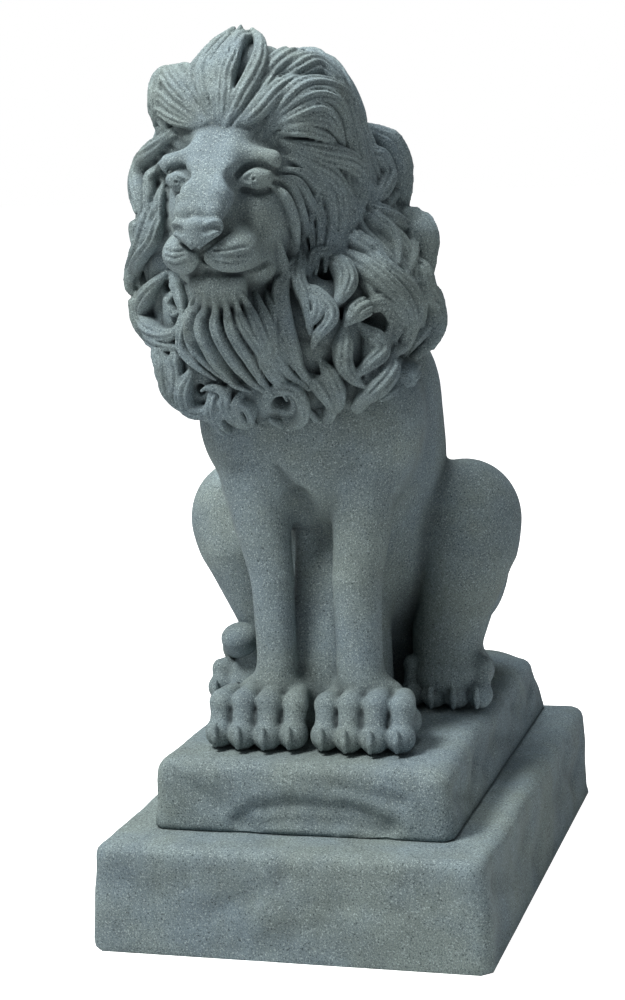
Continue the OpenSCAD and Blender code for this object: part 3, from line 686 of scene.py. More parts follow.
def harden(clay, name, adaptivity):
    """Turn the clay into a closed mesh."""
    grid = openvdb.FloatGrid()
    grid.background = FAR
    grid.copyFromArray(clay.d)
    points, tris, quads = grid.convertToPolygons(0.0, adaptivity)
    points = (clay.low + np.array(points) * clay.step) * MM
    mesh = bpy.data.meshes.new(name)
    mesh.from_pydata(points.tolist(), [], tris.tolist() + quads.tolist())
    mesh.update()
    obj = bpy.data.objects.new(name, mesh)
    bpy.context.scene.collection.objects.link(obj)
    work = bmesh.new()
    work.from_mesh(mesh)
    bmesh.ops.remove_doubles(work, verts=work.verts, dist=1e-6)
    bmesh.ops.recalc_face_normals(work, faces=work.faces)
    work.to_mesh(mesh)
    work.free()
    return obj


def boxes(name, rows):
    """Cutting boxes as one helper object; each row is a lowest and a highest corner in millimetres."""
    mesh = bpy.data.meshes.new(name)
    work = bmesh.new()
    for low, high in rows:
        made = bmesh.ops.create_cube(work, size=1.0)["verts"]
        for v in made:
            for i in range(3):
                v.co[i] = (low[i] if v.co[i] < 0 else high[i]) * MM
    work.to_mesh(mesh)
    work.free()
    obj = bpy.data.objects.new(name, mesh)
    bpy.context.scene.collection.objects.link(obj)
    return obj


def saw(source, name, rows, way):
    """Copy of a casting with boxes kept or taken away."""
    obj = source.copy()
    obj.data = source.data.copy()
    obj.name = obj.data.name = name
    bpy.context.scene.collection.objects.link(obj)
    tool = boxes("saw", rows)
    step = obj.modifiers.new("saw", "BOOLEAN")
    step.operation = way
    step.solver = "MANIFOLD"
    step.object = tool
    only(obj)
    bpy.ops.object.modifier_apply(modifier="saw")
    bpy.data.objects.remove(tool)
    if len(obj.data.polygons) == 0:
        raise RuntimeError(name + " came out empty")
    return obj


def only(obj):
    """Select one object and nothing else."""
    bpy.ops.object.select_all(action="DESELECT")
    obj.select_set(True)
    bpy.context.view_layer.objects.active = obj


def shade(obj, angle=55):
    """Smooth shading, with edges sharper than the angle kept."""
    only(obj)
    bpy.ops.object.shade_smooth_by_angle(angle=math.radians(angle), keep_sharp_edges=False)


def shade_and_stain_recesses(obj, near, far):
    """Keep on each point how deep it lies in a recess, for the painted shade and stain there."""
    n = len(obj.data.vertices)
    co = np.empty(n * 3, F)
    obj.data.vertices.foreach_get("co", co)
    p = co.reshape(-1, 3) / MM
    # painted shade and stain: the deeper a point lies in a recess, the darker its colour is painted
    value = np.clip(-probe(near, p) / 1.7, 0, 1) * 0.75 + np.clip(-probe(far, p) / 4.0, 0, 1) * 0.55
    layer = obj.data.attributes.get("recess") or obj.data.attributes.new("recess", "FLOAT", "POINT")
    layer.data.foreach_set("value", np.clip(value, 0, 1).astype(F))


def blurred(clay, reach_mm):
    """Copy of the clay with its detail smoothed away, to find the recesses against."""
    copy = Clay.__new__(Clay)
    copy.low, copy.step, copy.ax = clay.low, clay.step, clay.ax
    copy.d = soften(clay.d, max(1, int(round(reach_mm / clay.step))))
    return copy


def place(obj, node, finish="cast_stone"):
    """Give a casting its finish, and hand it to the frame in place of its CAD node."""
    obj.data.materials.clear()
    obj.data.materials.append(finish_named(finish))
    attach(obj, "statue")
    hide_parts(node)


def finish_casting(obj, near, far, node):
    """Paint shade and stain into one cast piece's recesses, then shade it smoothly and place it."""
    shade_and_stain_recesses(obj, near, far)
    shade(obj)
    place(obj, node)


# ---------------------------------------------------------------- finishes


def new_material(name):
    """Empty material with its shader; gives back the material, its tree and the shader."""
    mat = bpy.data.materials.new(name)
    mat.use_nodes = True
    tree = mat.node_tree
    tree.nodes.clear()
    out = tree.nodes.new("ShaderNodeOutputMaterial")
    shader = tree.nodes.new("ShaderNodeBsdfPrincipled")
    out.location, shader.location = (500, 0), (220, 0)
    tree.links.new(shader.outputs[0], out.inputs[0])
    return mat, tree, shader


def ramp(tree, source, stops, at=(0, 0)):
    """Colour ramp with its stops given as position and grey value or colour."""
    node = tree.nodes.new("ShaderNodeValToRGB")
    node.location = at
    row = node.color_ramp.elements
    while len(row) < len(stops):
        row.new(0.5)
    for stop, (position, value) in zip(row, stops):
        stop.position = position
        stop.color = (*value, 1) if isinstance(value, tuple) else (value, value, value, 1)
    tree.links.new(source, node.inputs[0])
    return node.outputs[0]


def noise(tree, where, scale, detail, rough, at=(0, 0)):
    """Noise pattern's value at the given places."""
    node = tree.nodes.new("ShaderNodeTexNoise")
    node.location = at
    node.inputs["Scale"].default_value = scale
    node.inputs["Detail"].default_value = detail
    node.inputs["Roughness"].default_value = rough
    tree.links.new(where, node.inputs["Vector"])
    return node.outputs["Fac"]


def mix(tree, a, b, fac, way="MIX", at=(0, 0)):
    """Blend two colours; each of a, b and fac is a socket or a plain value."""
    node = tree.nodes.new("ShaderNodeMix")
    node.data_type = "RGBA"
    node.blend_type = way
    node.location = at
    for socket, value in ((node.inputs[6], a), (node.inputs[7], b), (node.inputs[0], fac)):
        feed(tree, socket, value)
    return node.outputs[2]


def feed(tree, socket, value):
    """Link a socket to another one, or give it a plain number or colour."""
    if isinstance(value, bpy.types.NodeSocket):
        tree.links.new(value, socket)
    else:
        socket.default_value = (*value, 1) if isinstance(value, tuple) else value


def math_node(tree, way, a, b, at=(0, 0)):
    """Sum of the given kind on two values or sockets."""
    node = tree.nodes.new("ShaderNodeMath")
    node.operation = way
    node.location = at
    feed(tree, node.inputs[0], a)
    feed(tree, node.inputs[1], b)
    return node.outputs[0]


def new_effect(name, inputs):
    """Empty effect group: its inputs hold a colour or a number, and it puts out colour, roughness and height."""
    group = bpy.data.node_groups.new(name, "ShaderNodeTree")
    for label, value in inputs.items():
        kind = "NodeSocketColor" if isinstance(value, tuple) else "NodeSocketFloat"
        socket = group.interface.new_socket(name=label, in_out="INPUT", socket_type=kind)
        socket.default_value = (*value, 1) if isinstance(value, tuple) else value
    for label, kind in (("Colour", "NodeSocketColor"), ("Roughness", "NodeSocketFloat"),
                        ("Height", "NodeSocketFloat")):
        group.interface.new_socket(name=label, in_out="OUTPUT", socket_type=kind)
    inp = group.nodes.new("NodeGroupInput")
    out = group.nodes.new("NodeGroupOutput")
    coord = group.nodes.new("ShaderNodeTexCoord")
    size = group.nodes.new("ShaderNodeVectorMath")
    size.operation = "SCALE"
    inp.location, out.location = (-1400, 0), (900, 0)
    coord.location, size.location = (-1600, -200), (-1200, -200)
    group.links.new(coord.outputs["Object"], size.inputs[0])
    return group, inp, out, coord.outputs["Object"], size


def granite_group():
    """Cast granite effect: blue and green mottling, dark and pale specks, and painted shade with darker stain in
    the recesses.
    """
    group, inp, out, place_on, size = new_effect("granite_effect", {
        "Body Colour": (0.2, 0.25, 0.25), "Dark Speck": (0.03, 0.05, 0.05), "Pale Speck": (0.5, 0.56, 0.55),
        "Speck Size": 1.0, "Shade And Stain": 0.7})
    group.links.new(inp.outputs["Speck Size"], size.inputs["Scale"])
    where = size.outputs[0]
    broad = noise(group, place_on, 11.0, 4.0, 0.6, (-900, 500))
    patch = noise(group, place_on, 38.0, 4.0, 0.65, (-900, 250))
    grit = noise(group, where, 780.0, 2.0, 0.7, (-900, 0))
    fine = noise(group, where, 1500.0, 2.0, 0.6, (-900, -250))
    coarse = noise(group, where, 480.0, 3.0, 0.75, (-900, -500))
    # slow drift from bluish to greenish, and cloudy lighter patches
    hue = ramp(group, broad, [(0.38, (0.92, 0.97, 1.05)), (0.62, (1.02, 1.02, 0.96))], (-650, 500))
    drift = mix(group, inp.outputs["Body Colour"], hue, 1.0, "MULTIPLY", (-350, 400))
    blotch = ramp(group, patch, [(0.3, 0.86), (0.7, 1.14)], (-650, 250))
    cloud = mix(group, drift, blotch, 1.0, "MULTIPLY", (-150, 350))
    grit_shade = ramp(group, fine, [(0.35, 0.72), (0.65, 1.28)], (-650, -250))
    grain = mix(group, cloud, grit_shade, 1.0, "MULTIPLY", (50, 250))
    pale = ramp(group, grit, [(0.585, 0.0), (0.66, 0.85)], (-650, 0))
    dark = ramp(group, grit, [(0.33, 1.0), (0.405, 0.0)], (-650, -120))
    spot = ramp(group, coarse, [(0.29, 1.0), (0.335, 0.0)], (-650, -500))
    one = mix(group, grain, inp.outputs["Pale Speck"], pale, "MIX", (250, 200))
    specks = math_node(group, "MAXIMUM", dark, spot, (100, -200))
    two = mix(group, one, inp.outputs["Dark Speck"], specks, "MIX", (400, 150))
    # painted shade and darker stain in the recesses, read from the clay when it was cast
    recess = group.nodes.new("ShaderNodeAttribute")
    recess.attribute_name = "recess"
    recess.location = (0, -400)
    amount = math_node(group, "MULTIPLY", recess.outputs["Fac"], inp.outputs["Shade And Stain"], (200, -350))
    # near-black colour laid over the recesses as painted shade and stain
    shaded_and_stained = mix(group, two, (0.018, 0.026, 0.030), amount, "MIX", (600, 100))
    group.links.new(shaded_and_stained, out.inputs["Colour"])
    group.links.new(ramp(group, patch, [(0.3, 0.78), (0.7, 0.92)], (400, -150)), out.inputs["Roughness"])
    height = math_node(group, "ADD", math_node(group, "MULTIPLY", grit, 0.6, (300, -550)),
                       math_node(group, "MULTIPLY", coarse, 0.5, (300, -700)), (500, -600))
    group.links.new(height, out.inputs["Height"])
    return group


def scuff_group():
    """Wear for the hidden fittings: faint scratches and dull patches."""
    group, inp, out, place_on, size = new_effect("workshop_wear", {
        "Colour In": (0.5, 0.5, 0.5), "Grain Size": 300.0, "Low Roughness": 0.3, "High Roughness": 0.6})
    group.links.new(inp.outputs["Grain Size"], size.inputs["Scale"])
    small = noise(group, size.outputs[0], 1.0, 4.0, 0.6)
    large = noise(group, place_on, 30.0, 4.0, 0.6)
    one = mix(group, inp.outputs["Colour In"], ramp(group, small, [(0.3, 0.75), (0.7, 1.2)]), 1.0, "MULTIPLY")
    two = mix(group, one, ramp(group, large, [(0.3, 0.8), (0.7, 1.12)]), 1.0, "MULTIPLY")
    group.links.new(two, out.inputs["Colour"])
    span = group.nodes.new("ShaderNodeMapRange")
    group.links.new(small, span.inputs["Value"])
    group.links.new(inp.outputs["Low Roughness"], span.inputs["To Min"])
    group.links.new(inp.outputs["High Roughness"], span.inputs["To Max"])
    group.links.new(span.outputs[0], out.inputs["Roughness"])
    group.links.new(small, out.inputs["Height"])
    return group


def use_group(tree, group, shader, values, bump, depth):
    """Put an effect into a material with its own values, and its height through a bump."""
    node = tree.nodes.new("ShaderNodeGroup")
    node.node_tree = group
    node.location = (-200, 0)
    for name, value in values.items():
        node.inputs[name].default_value = (*value, 1) if isinstance(value, tuple) else value
    tree.links.new(node.outputs["Colour"], shader.inputs["Base Color"])
    tree.links.new(node.outputs["Roughness"], shader.inputs["Roughness"])
    lift = tree.nodes.new("ShaderNodeBump")
    lift.location = (0, -250)
    lift.inputs["Strength"].default_value = bump
    lift.inputs["Distance"].default_value = depth
    tree.links.new(node.outputs["Height"], lift.inputs["Height"])
    tree.links.new(lift.outputs[0], shader.inputs["Normal"])


# Fittings: colour, grain size, lowest and highest roughness, strength and depth of the bump
FITTING_FINISHES = {
    "plate_board": ((0.035, 0.036, 0.04), 420.0, 0.5, 0.75, 0.25, 0.0004),
    "bung_rubber": ((0.02, 0.02, 0.021), 900.0, 0.6, 0.85, 0.2, 0.0003),
    "bright_steel": ((0.62, 0.63, 0.64), 700.0, 0.25, 0.45, 0.15, 0.0002),
}


def finish_named(name):
    """Material of a finish, made the first time it is asked for."""
    if name in bpy.data.materials:
        return bpy.data.materials[name]
    mat, tree, shader = new_material(name)
    finish = bpy.context.scene.lion_finish
    groups = bpy.data.node_groups
    granite = groups.get("granite_effect") or granite_group()
    wear = groups.get("workshop_wear") or scuff_group()
    if name in FITTING_FINISHES:
        colour, grain, low, high, bump, depth = FITTING_FINISHES[name]
        use_group(tree, wear, shader, {"Colour In": colour, "Grain Size": grain, "Low Roughness": low,
                                       "High Roughness": high}, bump, depth)
        if name == "bright_steel":
            shader.inputs["Metallic"].default_value = 1.0
        return mat
    specks = {"Dark Speck": tuple(finish.dark_speck), "Pale Speck": tuple(finish.pale_speck)}
    if name == "inside_stone":
        use_group(tree, granite, shader, {"Body Colour": (0.24, 0.26, 0.25), "Shade And Stain": 0.0}, 0.5, 0.001)
        return mat
    if name == "cast_stone":
        values = {"Body Colour": tuple(finish.stone_colour), **specks, "Shade And Stain": finish.recess_shade_and_stain}
        use_group(tree, granite, shader, values, 0.7, 0.0011)
    else:
        values = {"Body Colour": tuple(c * 1.04 for c in finish.stone_colour), **specks, "Speck Size": 0.92,
                  "Shade And Stain": finish.recess_shade_and_stain * 0.5}
        use_group(tree, granite, shader, values, 0.8, 0.0013)
    shader.inputs["Specular IOR Level"].default_value = 0.3
    return mat


# ---------------------------------------------------------------- plinth


def edges_where(work, test):
    """Select the edges that pass a test, and nothing else."""
    for part in (work.faces, work.edges, work.verts):
        for item in part:
            item.select_set(False)
    for e in work.edges:
        if test(e):
            e.select_set(True)
    work.select_flush_mode()


def block(name, low, high, draft, corner, edge):
    """Drafted block with worn corners and worn top edges, modelled from a cube."""
    bpy.ops.object.select_all(action="DESELECT")
    bpy.ops.mesh.primitive_cube_add(size=1.0, location=tuple((low + high) / 2 * MM))
    obj = bpy.context.object
    obj.name = obj.data.name = name
    bpy.ops.transform.resize(value=tuple((high - low) * MM))
    bpy.ops.object.transform_apply(location=True, rotation=True, scale=True)
    top = high[2] * MM
    shrink = [(high[i] - low[i] - 2 * draft) / (high[i] - low[i]) for i in (0, 1)]
    mid = (low + high) / 2 * MM
    bpy.ops.object.mode_set(mode="EDIT")
    bpy.ops.mesh.select_mode(type="EDGE")
    work = bmesh.from_edit_mesh(obj.data)
    for v in work.verts:
        if v.co.z > top - 1e-5:
            v.co.x = mid[0] + (v.co.x - mid[0]) * shrink[0]
            v.co.y = mid[1] + (v.co.y - mid[1]) * shrink[1]
    edges_where(work, lambda e: abs(e.verts[0].co.z - e.verts[1].co.z) > 0.01)
    bmesh.update_edit_mesh(obj.data)
    bpy.ops.mesh.bevel(offset=corner * MM, segments=6, affect="EDGES")
    work = bmesh.from_edit_mesh(obj.data)
    edges_where(work, lambda e: min(v.co.z for v in e.verts) > top - 1e-5
                and len(e.link_faces) == 2 and any(abs(f.normal.z) < 0.5 for f in e.link_faces))
    bmesh.update_edit_mesh(obj.data)
    bpy.ops.mesh.bevel(offset=edge * MM, segments=4, affect="EDGES")
    bpy.ops.mesh.select_all(action="SELECT")
    bpy.ops.mesh.normals_make_consistent(inside=False)
    bpy.ops.object.mode_set(mode="OBJECT")
    return obj


def apply_all(obj):
    """Apply every modifier of an object."""
    only(obj)
    for step in [m.name for m in obj.modifiers]:
        bpy.ops.object.modifier_apply(modifier=step)


def near_path(points, path):
    """Distance from points in a plane to a drawn line."""
    best = np.full(len(points), 1e9)
    for a, b in zip(path[:-1], path[1:]):
        a, b = np.array(a, float), np.array(b, float)
        ab = b - a
        t = np.clip((points - a) @ ab / (ab @ ab), 0, 1)
        best = np.minimum(best, np.linalg.norm(points - a - t[:, None] * ab, axis=1))
    return best


# Spacing of the hewn skin in metres, length and height of its waves, and the axis and way of each face
PLINTH_GRAIN = 0.0026
WAVES = ((120, 1.0), (62, 0.8), (34, 0.45), (19, 0.25))
FACES = {"front": (1, -1), "back": (1, 1), "left": (0, -1), "right": (0, 1)}


def hew(obj, low, high, strokes, rough, seed):
    """Turn a clean block into a hewn one: a dense skin, broad waves, and the mason's strokes on its sides, with
    painted shade kept for its hollows.
    """
    skin = obj.modifiers.new("skin", "REMESH")
    skin.mode = "VOXEL"
    skin.voxel_size = PLINTH_GRAIN
    apply_all(obj)
    mesh = obj.data
    n = len(mesh.vertices)
    co = np.empty(n * 3)
    mesh.vertices.foreach_get("co", co)
    co = co.reshape(-1, 3) / MM
    normal = np.empty(n * 3)
    mesh.vertices.foreach_get("normal", normal)
    normal = normal.reshape(-1, 3)
    rng = np.random.default_rng(seed)
    wave = np.zeros(n)
    for size, height in WAVES:
        for _ in range(5):
            k = rng.normal(size=3)
            k *= 2 * math.pi / size / np.linalg.norm(k)
            wave += height * rough * 0.45 * np.sin(co @ k + rng.uniform(0, 6.3))
    side = np.clip(1.15 - np.abs(normal[:, 2]), 0.12, 1)
    foot = np.clip((co[:, 2] - low[2]) / 8, 0, 1)
    move = np.minimum(wave, 1.2) * side * foot
    for face, radius, depth, path in strokes:
        if face == "chip":
            move -= depth * np.exp(-np.sum((co - path) ** 2, 1) / radius ** 2)
            continue
        axis, sign = FACES[face]
        facing = np.clip(normal[:, axis] * sign * 1.4 - 0.2, 0, 1)
        plane = co[:, [1 - axis, 2]]
        move -= depth * facing * np.exp(-(near_path(plane, path) / radius) ** 2)
    co += normal * move[:, None]
    co[:, 0] = np.clip(co[:, 0], low[0] - 1, high[0] + 1)
    co[:, 1] = np.clip(co[:, 1], low[1] - 1, high[1] + 1)
    co[:, 2] = np.clip(co[:, 2], low[2], high[2] + 0.5)
    mesh.vertices.foreach_set("co", (co * MM).ravel())
    mesh.update()
    # painted shade: hollows are darkened by how far the hewn surface is pushed in, through the stone's shade and
    # stain input
    layer = mesh.attributes.new("recess", "FLOAT", "POINT")
    layer.data.foreach_set("value", np.clip(-move / 9, 0, 0.6).astype(F))


# Strokes on the tiers' sides: face, radius, depth, and a line on that face.
# The chip is a worn corner about a point.
LOWER_STROKES = [
    ("front", 9, 2.4, [(-62, 36), (-40, 46), (-12, 60), (0, 70)]),
    ("front", 8, 1.8, [(22, 48), (62, 50), (92, 44)]),
    ("front", 10, 1.6, [(-20, 14), (6, 26), (40, 38)]),
    ("front", 9, 1.5, [(-140, 62), (-112, 50), (-84, 62)]),
    ("front", 7, 1.4, [(96, 66), (118, 54), (136, 30)]),
    ("right", 12, 2.6, [(-190, 60), (-130, 40), (-70, 52)]),
    ("right", 11, 2.4, [(-40, 30), (20, 58), (90, 40)]),
    ("right", 10, 2.2, [(110, 62), (150, 34), (200, 52)]),
    ("left", 12, 2.4, [(-180, 40), (-110, 56), (-50, 34)]),
    ("left", 11, 2.2, [(-10, 60), (60, 36), (120, 58)]),
    ("left", 10, 2.0, [(140, 30), (190, 54)]),
    ("back", 11, 2.2, [(-130, 56), (-70, 34), (-20, 54)]),
    ("back", 10, 2.0, [(10, 30), (70, 52), (130, 36)]),
]
UPPER_STROKES = [
    ("front", 7, 5.0, [(-52, 96), (-36, 106), (-4, 110), (40, 108), (74, 97)]),
    ("front", 5, 3.0, [(-44, 92), (-10, 98), (40, 98), (70, 91)]),
    ("front", 5, 2.4, [(30, 127), (56, 122), (84, 117)]),
    ("front", 6, 2.0, [(-104, 132), (-84, 118), (-62, 106)]),
    ("right", 9, 3.4, [(-160, 118), (-110, 100), (-70, 122)]),
    ("right", 8, 3.0, [(-50, 104), (0, 120), (50, 102)]),
    ("right", 8, 3.2, [(80, 122), (120, 102), (170, 116)]),
    ("left", 9, 3.2, [(-150, 104), (-90, 122), (-40, 104)]),
    ("left", 8, 3.0, [(-10, 118), (50, 100), (110, 120)]),
    ("back", 9, 3.0, [(-90, 118), (-40, 102), (20, 118), (80, 104)]),
    ("chip", 26, 13.0, UPPER[1] - (2, 3, 3)),
]


class LION_OT_plinth(bpy.types.Operator):
    """Model both tiers of the hewn plinth"""
    bl_idname = "lion.plinth"
    bl_label = "Model the plinth"

    def execute(self, context):
        size = context.scene.lion_plinth
        wall, swell = size.wall / MM, size.swell / MM
        for name, node, (low, high), corner, edge, strokes, seed in (
                ("lower_tier", "lower_plinth", LOWER, size.lower_corner / MM, size.lower_edge / MM,
                 LOWER_STROKES, 3),
                ("upper_tier", "upper_plinth", UPPER, size.upper_corner / MM, size.upper_edge / MM,
                 UPPER_STROKES, 8)):
            low, high = low - (swell, swell, 0), high + (swell, swell, 0)
            obj = block(name, low, high, size.draft / MM, corner, edge)
            hew(obj, low, high, strokes, size.hewing, seed)
            rows = [((low[0] + wall + 5, low[1] + wall + 5, low[2] - 5),
                     (high[0] - wall - 5, high[1] - wall - 5, high[2] - wall))]
            if name == "lower_tier":
                rows.append((PLATE[0] - (1.5, 1.5, 20), PLATE[1] + (1.5, 1.5, 0.4)))
            for row in rows:
                cut = saw(obj, name + "_cut", [row], "DIFFERENCE")
                bpy.data.objects.remove(obj)
                obj = cut
            obj.name = obj.data.name = name
            shade(obj, 50)
            place(obj, node, "hewn_stone")
        return {"FINISHED"}


# ---------------------------------------------------------------- lion


# How far flat places of the body and of the head are thinned out, and the boxes that part the castings
BODY_ADAPT = 0.012
HEAD_ADAPT = 0.02
BODY_CUTS = {
    "left_foreleg": ((1, -200, 130), (100, -74, 300)),
    "right_foreleg": ((-100, -200, 130), (1, -74, 300)),
    "left_hind_leg": ((60, -44, 130), (170, 238, 352)),
    "right_hind_leg": ((-170, -44, 130), (-60, 238, 352)),
}


class LION_OT_body(bpy.types.Operator):
    """Model the torso, the legs and the tail"""
    bl_idname = "lion.body"
    bl_label = "Model the body, legs and tail"

    def execute(self, context):
        step = context.scene.lion_sculpt.body_grain / MM
        clay, tail = model_body(step)
        near, far = blurred(clay, 5), blurred(clay, 14)
        whole = harden(clay, "body_cast", BODY_ADAPT)
        for node, row in BODY_CUTS.items():
            finish_casting(saw(whole, node + "_stone", [row], "INTERSECT"), near, far, node)
        finish_casting(saw(whole, "torso_stone", list(BODY_CUTS.values()), "DIFFERENCE"), near, far, "torso")
        bpy.data.objects.remove(whole)
        finish_casting(harden(tail, "tail_stone", BODY_ADAPT), near, far, "tail")
        return {"FINISHED"}


HEAD_PARTS = {
    "face_stone": ((-200, -260, 380), (150, -112, 730)),
    "mane_right_stone": ((-200, -112, 380), (-30, 120, 730)),
    "mane_left_upper_stone": ((-30, -112, 555), (150, 120, 730)),
    "mane_left_lower_stone": ((-30, -112, 380), (150, 120, 555)),
}


class LION_OT_head(bpy.types.Operator):
    """Model the face and the mane"""
    bl_idname = "lion.head"
    bl_label = "Model the head and mane"

    def execute(self, context):
        clay = model_head(context.scene.lion_sculpt.mane_grain / MM)
        near, far = blurred(clay, 4), blurred(clay, 12)
        whole = harden(clay, "head_cast", HEAD_ADAPT)
        for name, row in HEAD_PARTS.items():
            finish_casting(saw(whole, name, [row], "INTERSECT"), near, far, "head")
        bpy.data.objects.remove(whole)
        return {"FINISHED"}


# ---------------------------------------------------------------- hidden fittings


# Finish of every CAD node: the fittings keep their own mesh, and the castings' is seen only from inside
NODE_FINISHES = {
    "plate_board": ("base_plate",),
    "bung_rubber": ("filling_bung",),
    "bright_steel": ("base_screws", "tier_bolts", "tier_washers", "foreleg_rods", "rump_rods", "rod_washers",
                     "rod_nuts", "neck_dowels", "haunch_dowels", "tail_dowel"),
    "inside_stone": ("head", "torso", "left_foreleg", "right_foreleg", "left_hind_leg", "right_hind_leg", "tail",
                     "upper_plinth", "lower_plinth"),
}


class LION_OT_fittings(bpy.types.Operator):
    """Finish the closing plate, the bung, the rods and their fixings"""
    bl_idname = "lion.fittings"
    bl_label = "Finish the hidden fittings"

    def execute(self, context):
        for finish, nodes in NODE_FINISHES.items():
            for node in nodes:
                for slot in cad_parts[node].material_slots:
                    slot.material = finish_named(finish)
        return {"FINISHED"}


# ---------------------------------------------------------------- stage


# Camera: angle round, angle above and roll in degrees, aim, distance, lens and shift
CAMERA_ANGLES = (15.976, 9.238, -2.528)
CAMERA_AIM = Vector((0, 0, 0.33876))
CAMERA_DISTANCE = 1.8081
CAMERA_LENS = 76.54
CAMERA_SHIFT = (-0.0354, -0.0188)


def soft_light(name, place_at, aim, size, power, colour):
    """Round soft light at a place, aimed at a point."""
    lamp = bpy.data.lights.new(name, "AREA")
    lamp.shape = "DISK"
    lamp.size = size
    lamp.energy = power
    lamp.color = colour
    obj = bpy.data.objects.new(name, lamp)
    bpy.context.scene.collection.objects.link(obj)
    obj.location = place_at
    obj.rotation_euler = (Vector(aim) - obj.location).to_track_quat("-Z", "Y").to_euler()


def soft_room(scene, strength):
    """White room that lights the statue from all round by a strength of its own."""
    world = bpy.data.worlds.new("soft_room")
    scene.world = world
    world.use_nodes = True
    tree = world.node_tree
    tree.nodes.clear()
    out = tree.nodes.new("ShaderNodeOutputWorld")
    pick = tree.nodes.new("ShaderNodeMixShader")
    path = tree.nodes.new("ShaderNodeLightPath")
    seen = tree.nodes.new("ShaderNodeBackground")
    lit = tree.nodes.new("ShaderNodeBackground")
    seen.inputs[0].default_value = (1, 1, 1, 1)
    seen.inputs[1].default_value = 1.0
    lit.inputs[0].default_value = (0.93, 0.97, 1.0, 1)
    lit.inputs[1].default_value = strength
    tree.links.new(path.outputs["Is Camera Ray"], pick.inputs[0])
    tree.links.new(lit.outputs[0], pick.inputs[1])
    tree.links.new(seen.outputs[0], pick.inputs[2])
    tree.links.new(pick.outputs[0], out.inputs[0])


class LION_OT_stage(bpy.types.Operator):
    """Lay the floor and set the lights and the camera"""
    bl_idname = "lion.stage"
    bl_label = "Set the stage"

    def execute(self, context):
        stage = context.scene.lion_stage
        bpy.ops.object.select_all(action="DESELECT")
        bpy.ops.mesh.primitive_plane_add(size=40.0, location=(0, 0, 0))
        floor = bpy.context.object
        floor.name = "floor"
        mat, tree, shader = new_material("pale_floor")
        shader.inputs["Base Color"].default_value = (*stage.floor_colour, 1)
        shader.inputs["Emission Color"].default_value = (1, 1, 1, 1)
        seen_by = tree.nodes.new("ShaderNodeLightPath")
        glow = math_node(tree, "MULTIPLY", seen_by.outputs["Is Camera Ray"], stage.floor_glow)
        tree.links.new(glow, shader.inputs["Emission Strength"])
        shader.inputs["Roughness"].default_value = 0.9
        shader.inputs["Specular IOR Level"].default_value = 0.1
        floor.data.materials.append(mat)
        soft_room(context.scene, stage.room_light)
        soft_light("key_light", (-1.0, -1.15, 2.6), (0, 0, 0.42), 0.8, stage.key_power, (1.0, 0.99, 0.96))
        soft_light("top_light", (-0.2, 0.1, 2.4), (0, 0, 0.4), 1.2, stage.top_power, (0.97, 0.99, 1.0))
        soft_light("fill_light", (1.9, -1.3, 0.9), (0, 0, 0.35), 1.4, stage.fill_power, (0.92, 0.96, 1.0))
        context.scene.view_settings.view_transform = "Standard"
        lens = bpy.data.cameras.new("camera")
        camera = bpy.data.objects.new("camera", lens)
        context.scene.collection.objects.link(camera)
        context.scene.camera = camera
        around, above, roll = (math.radians(v) for v in CAMERA_ANGLES)
        back = Vector((math.sin(around) * math.cos(above), -math.cos(around) * math.cos(above), math.sin(above)))
        right = (-back).cross(Vector((0, 0, 1))).normalized()
        up = right.cross(-back)
        across = right * math.cos(roll) + up * math.sin(roll)
        upward = up * math.cos(roll) - right * math.sin(roll)
        turned = Matrix((across, upward, back)).transposed().to_4x4()
        turned.translation = CAMERA_AIM + back * CAMERA_DISTANCE
        camera.matrix_world = turned
        lens.sensor_fit = "AUTO"
        lens.sensor_width = 36
        lens.lens = CAMERA_LENS
        lens.shift_x, lens.shift_y = CAMERA_SHIFT
        lens.clip_end = 100
        return {"FINISHED"}


# ---------------------------------------------------------------- settings, panel and registration


class LionPlinthSize(bpy.types.PropertyGroup):
    """Sizes of the plinth"""
    wall: bpy.props.FloatProperty(name="Wall", description="Thickness of the cast walls",
                                  default=0.013, unit="LENGTH")
    draft: bpy.props.FloatProperty(name="Draft", description="How far each side leans in",
                                   default=0.005, unit="LENGTH")
    lower_corner: bpy.props.FloatProperty(name="Lower corner",
                                          description="Radius of the lower tier's upright corners",
                                          default=0.012, unit="LENGTH")
    lower_edge: bpy.props.FloatProperty(name="Lower edge", description="Radius of the lower tier's top edge",
                                        default=0.009, unit="LENGTH")
    upper_corner: bpy.props.FloatProperty(name="Upper corner",
                                          description="Radius of the upper tier's upright corners",
                                          default=0.014, unit="LENGTH")
    swell: bpy.props.FloatProperty(name="Swell", description="How far the hewn faces stand out",
                                   default=0.0035, unit="LENGTH")
    upper_edge: bpy.props.FloatProperty(name="Upper edge", description="Radius of the upper tier's top edge",
                                        default=0.011, unit="LENGTH")
    hewing: bpy.props.FloatProperty(name="Hewing", description="How uneven the hewn sides are",
                                    default=1.0, min=0, max=3)


class LionSculptSize(bpy.types.PropertyGroup):
    """How fine the modelled surfaces are"""
    body_grain: bpy.props.FloatProperty(name="Body grain", description="Spacing of the body's modelling grid",
                                        default=0.002, unit="LENGTH")
    mane_grain: bpy.props.FloatProperty(name="Mane grain", description="Spacing of the head's modelling grid",
                                        default=0.0014, unit="LENGTH")


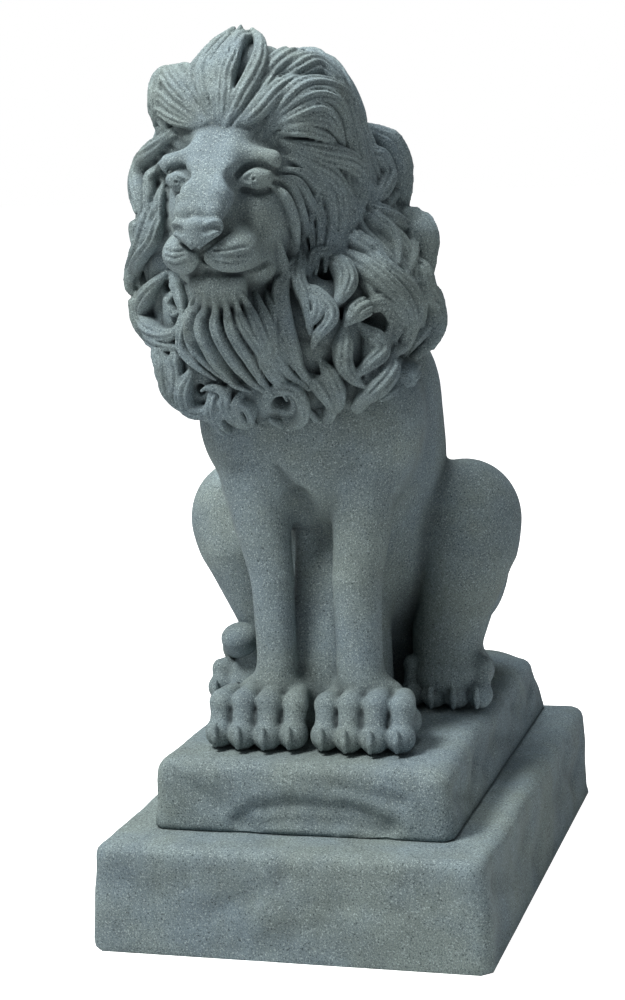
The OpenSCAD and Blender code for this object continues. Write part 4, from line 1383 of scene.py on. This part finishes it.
class LionFinish(bpy.types.PropertyGroup):
    """Colours of the cast stone"""
    stone_colour: bpy.props.FloatVectorProperty(name="Stone", description="Body colour of the stone",
                                                subtype="COLOR", default=(0.147, 0.184, 0.191), min=0, max=1)
    dark_speck: bpy.props.FloatVectorProperty(name="Dark speck", description="Colour of the dark specks",
                                              subtype="COLOR", default=(0.032, 0.046, 0.052), min=0, max=1)
    pale_speck: bpy.props.FloatVectorProperty(name="Pale speck", description="Colour of the pale specks",
                                              subtype="COLOR", default=(0.34, 0.41, 0.41), min=0, max=1)
    # strength of the painted shade and stain in the recesses
    recess_shade_and_stain: bpy.props.FloatProperty(name="Recess shade and stain", description="How dark the recesses are",
                                          default=0.8, min=0, max=1, subtype="FACTOR")


class LionStage(bpy.types.PropertyGroup):
    """Floor and lights"""
    floor_colour: bpy.props.FloatVectorProperty(name="Floor", description="Colour of the floor", subtype="COLOR",
                                                default=(0.7, 0.7, 0.7), min=0, max=1)
    floor_glow: bpy.props.FloatProperty(name="Floor glow",
                                        description="How far the floor is lifted towards white",
                                        default=1.0, min=0)
    room_light: bpy.props.FloatProperty(name="Room light", description="Strength of the light from all round",
                                        default=0.2, min=0)
    key_power: bpy.props.FloatProperty(name="Key light", description="Power of the main light",
                                       default=100.0, unit="POWER")
    top_power: bpy.props.FloatProperty(name="Top light", description="Power of the light from above",
                                       default=40.0, unit="POWER")
    fill_power: bpy.props.FloatProperty(name="Fill light", description="Power of the light from the side",
                                        default=3.5, unit="POWER")


STEPS = (LION_OT_stage, LION_OT_plinth, LION_OT_body, LION_OT_head, LION_OT_fittings)
GROUPS = (("lion_plinth", LionPlinthSize), ("lion_sculpt", LionSculptSize), ("lion_finish", LionFinish),
          ("lion_stage", LionStage))


class LION_PT_panel(bpy.types.Panel):
    """Sizes, colours and steps of the lion"""
    bl_label = "Seated stone lion"
    bl_idname = "LION_PT_panel"
    bl_space_type = "VIEW_3D"
    bl_region_type = "UI"
    bl_category = "Lion"

    def draw(self, context):
        for name, group in GROUPS:
            box = self.layout.box()
            box.label(text=group.__doc__)
            for field in group.__annotations__:
                box.prop(getattr(context.scene, name), field)
        for step in STEPS:
            self.layout.operator(step.bl_idname)


def register():
    for name, group in GROUPS:
        bpy.utils.register_class(group)
        setattr(bpy.types.Scene, name, bpy.props.PointerProperty(type=group))
    for step in STEPS:
        bpy.utils.register_class(step)
    bpy.utils.register_class(LION_PT_panel)


def unregister():
    bpy.utils.unregister_class(LION_PT_panel)
    for step in reversed(STEPS):
        bpy.utils.unregister_class(step)
    for name, group in reversed(GROUPS):
        delattr(bpy.types.Scene, name)
        bpy.utils.unregister_class(group)


def main():
    """Build everything in order."""
    register()
    bpy.ops.lion.stage()
    bpy.ops.lion.plinth()
    bpy.ops.lion.body()
    bpy.ops.lion.head()
    bpy.ops.lion.fittings()


if __name__ == "__main__":
    main()
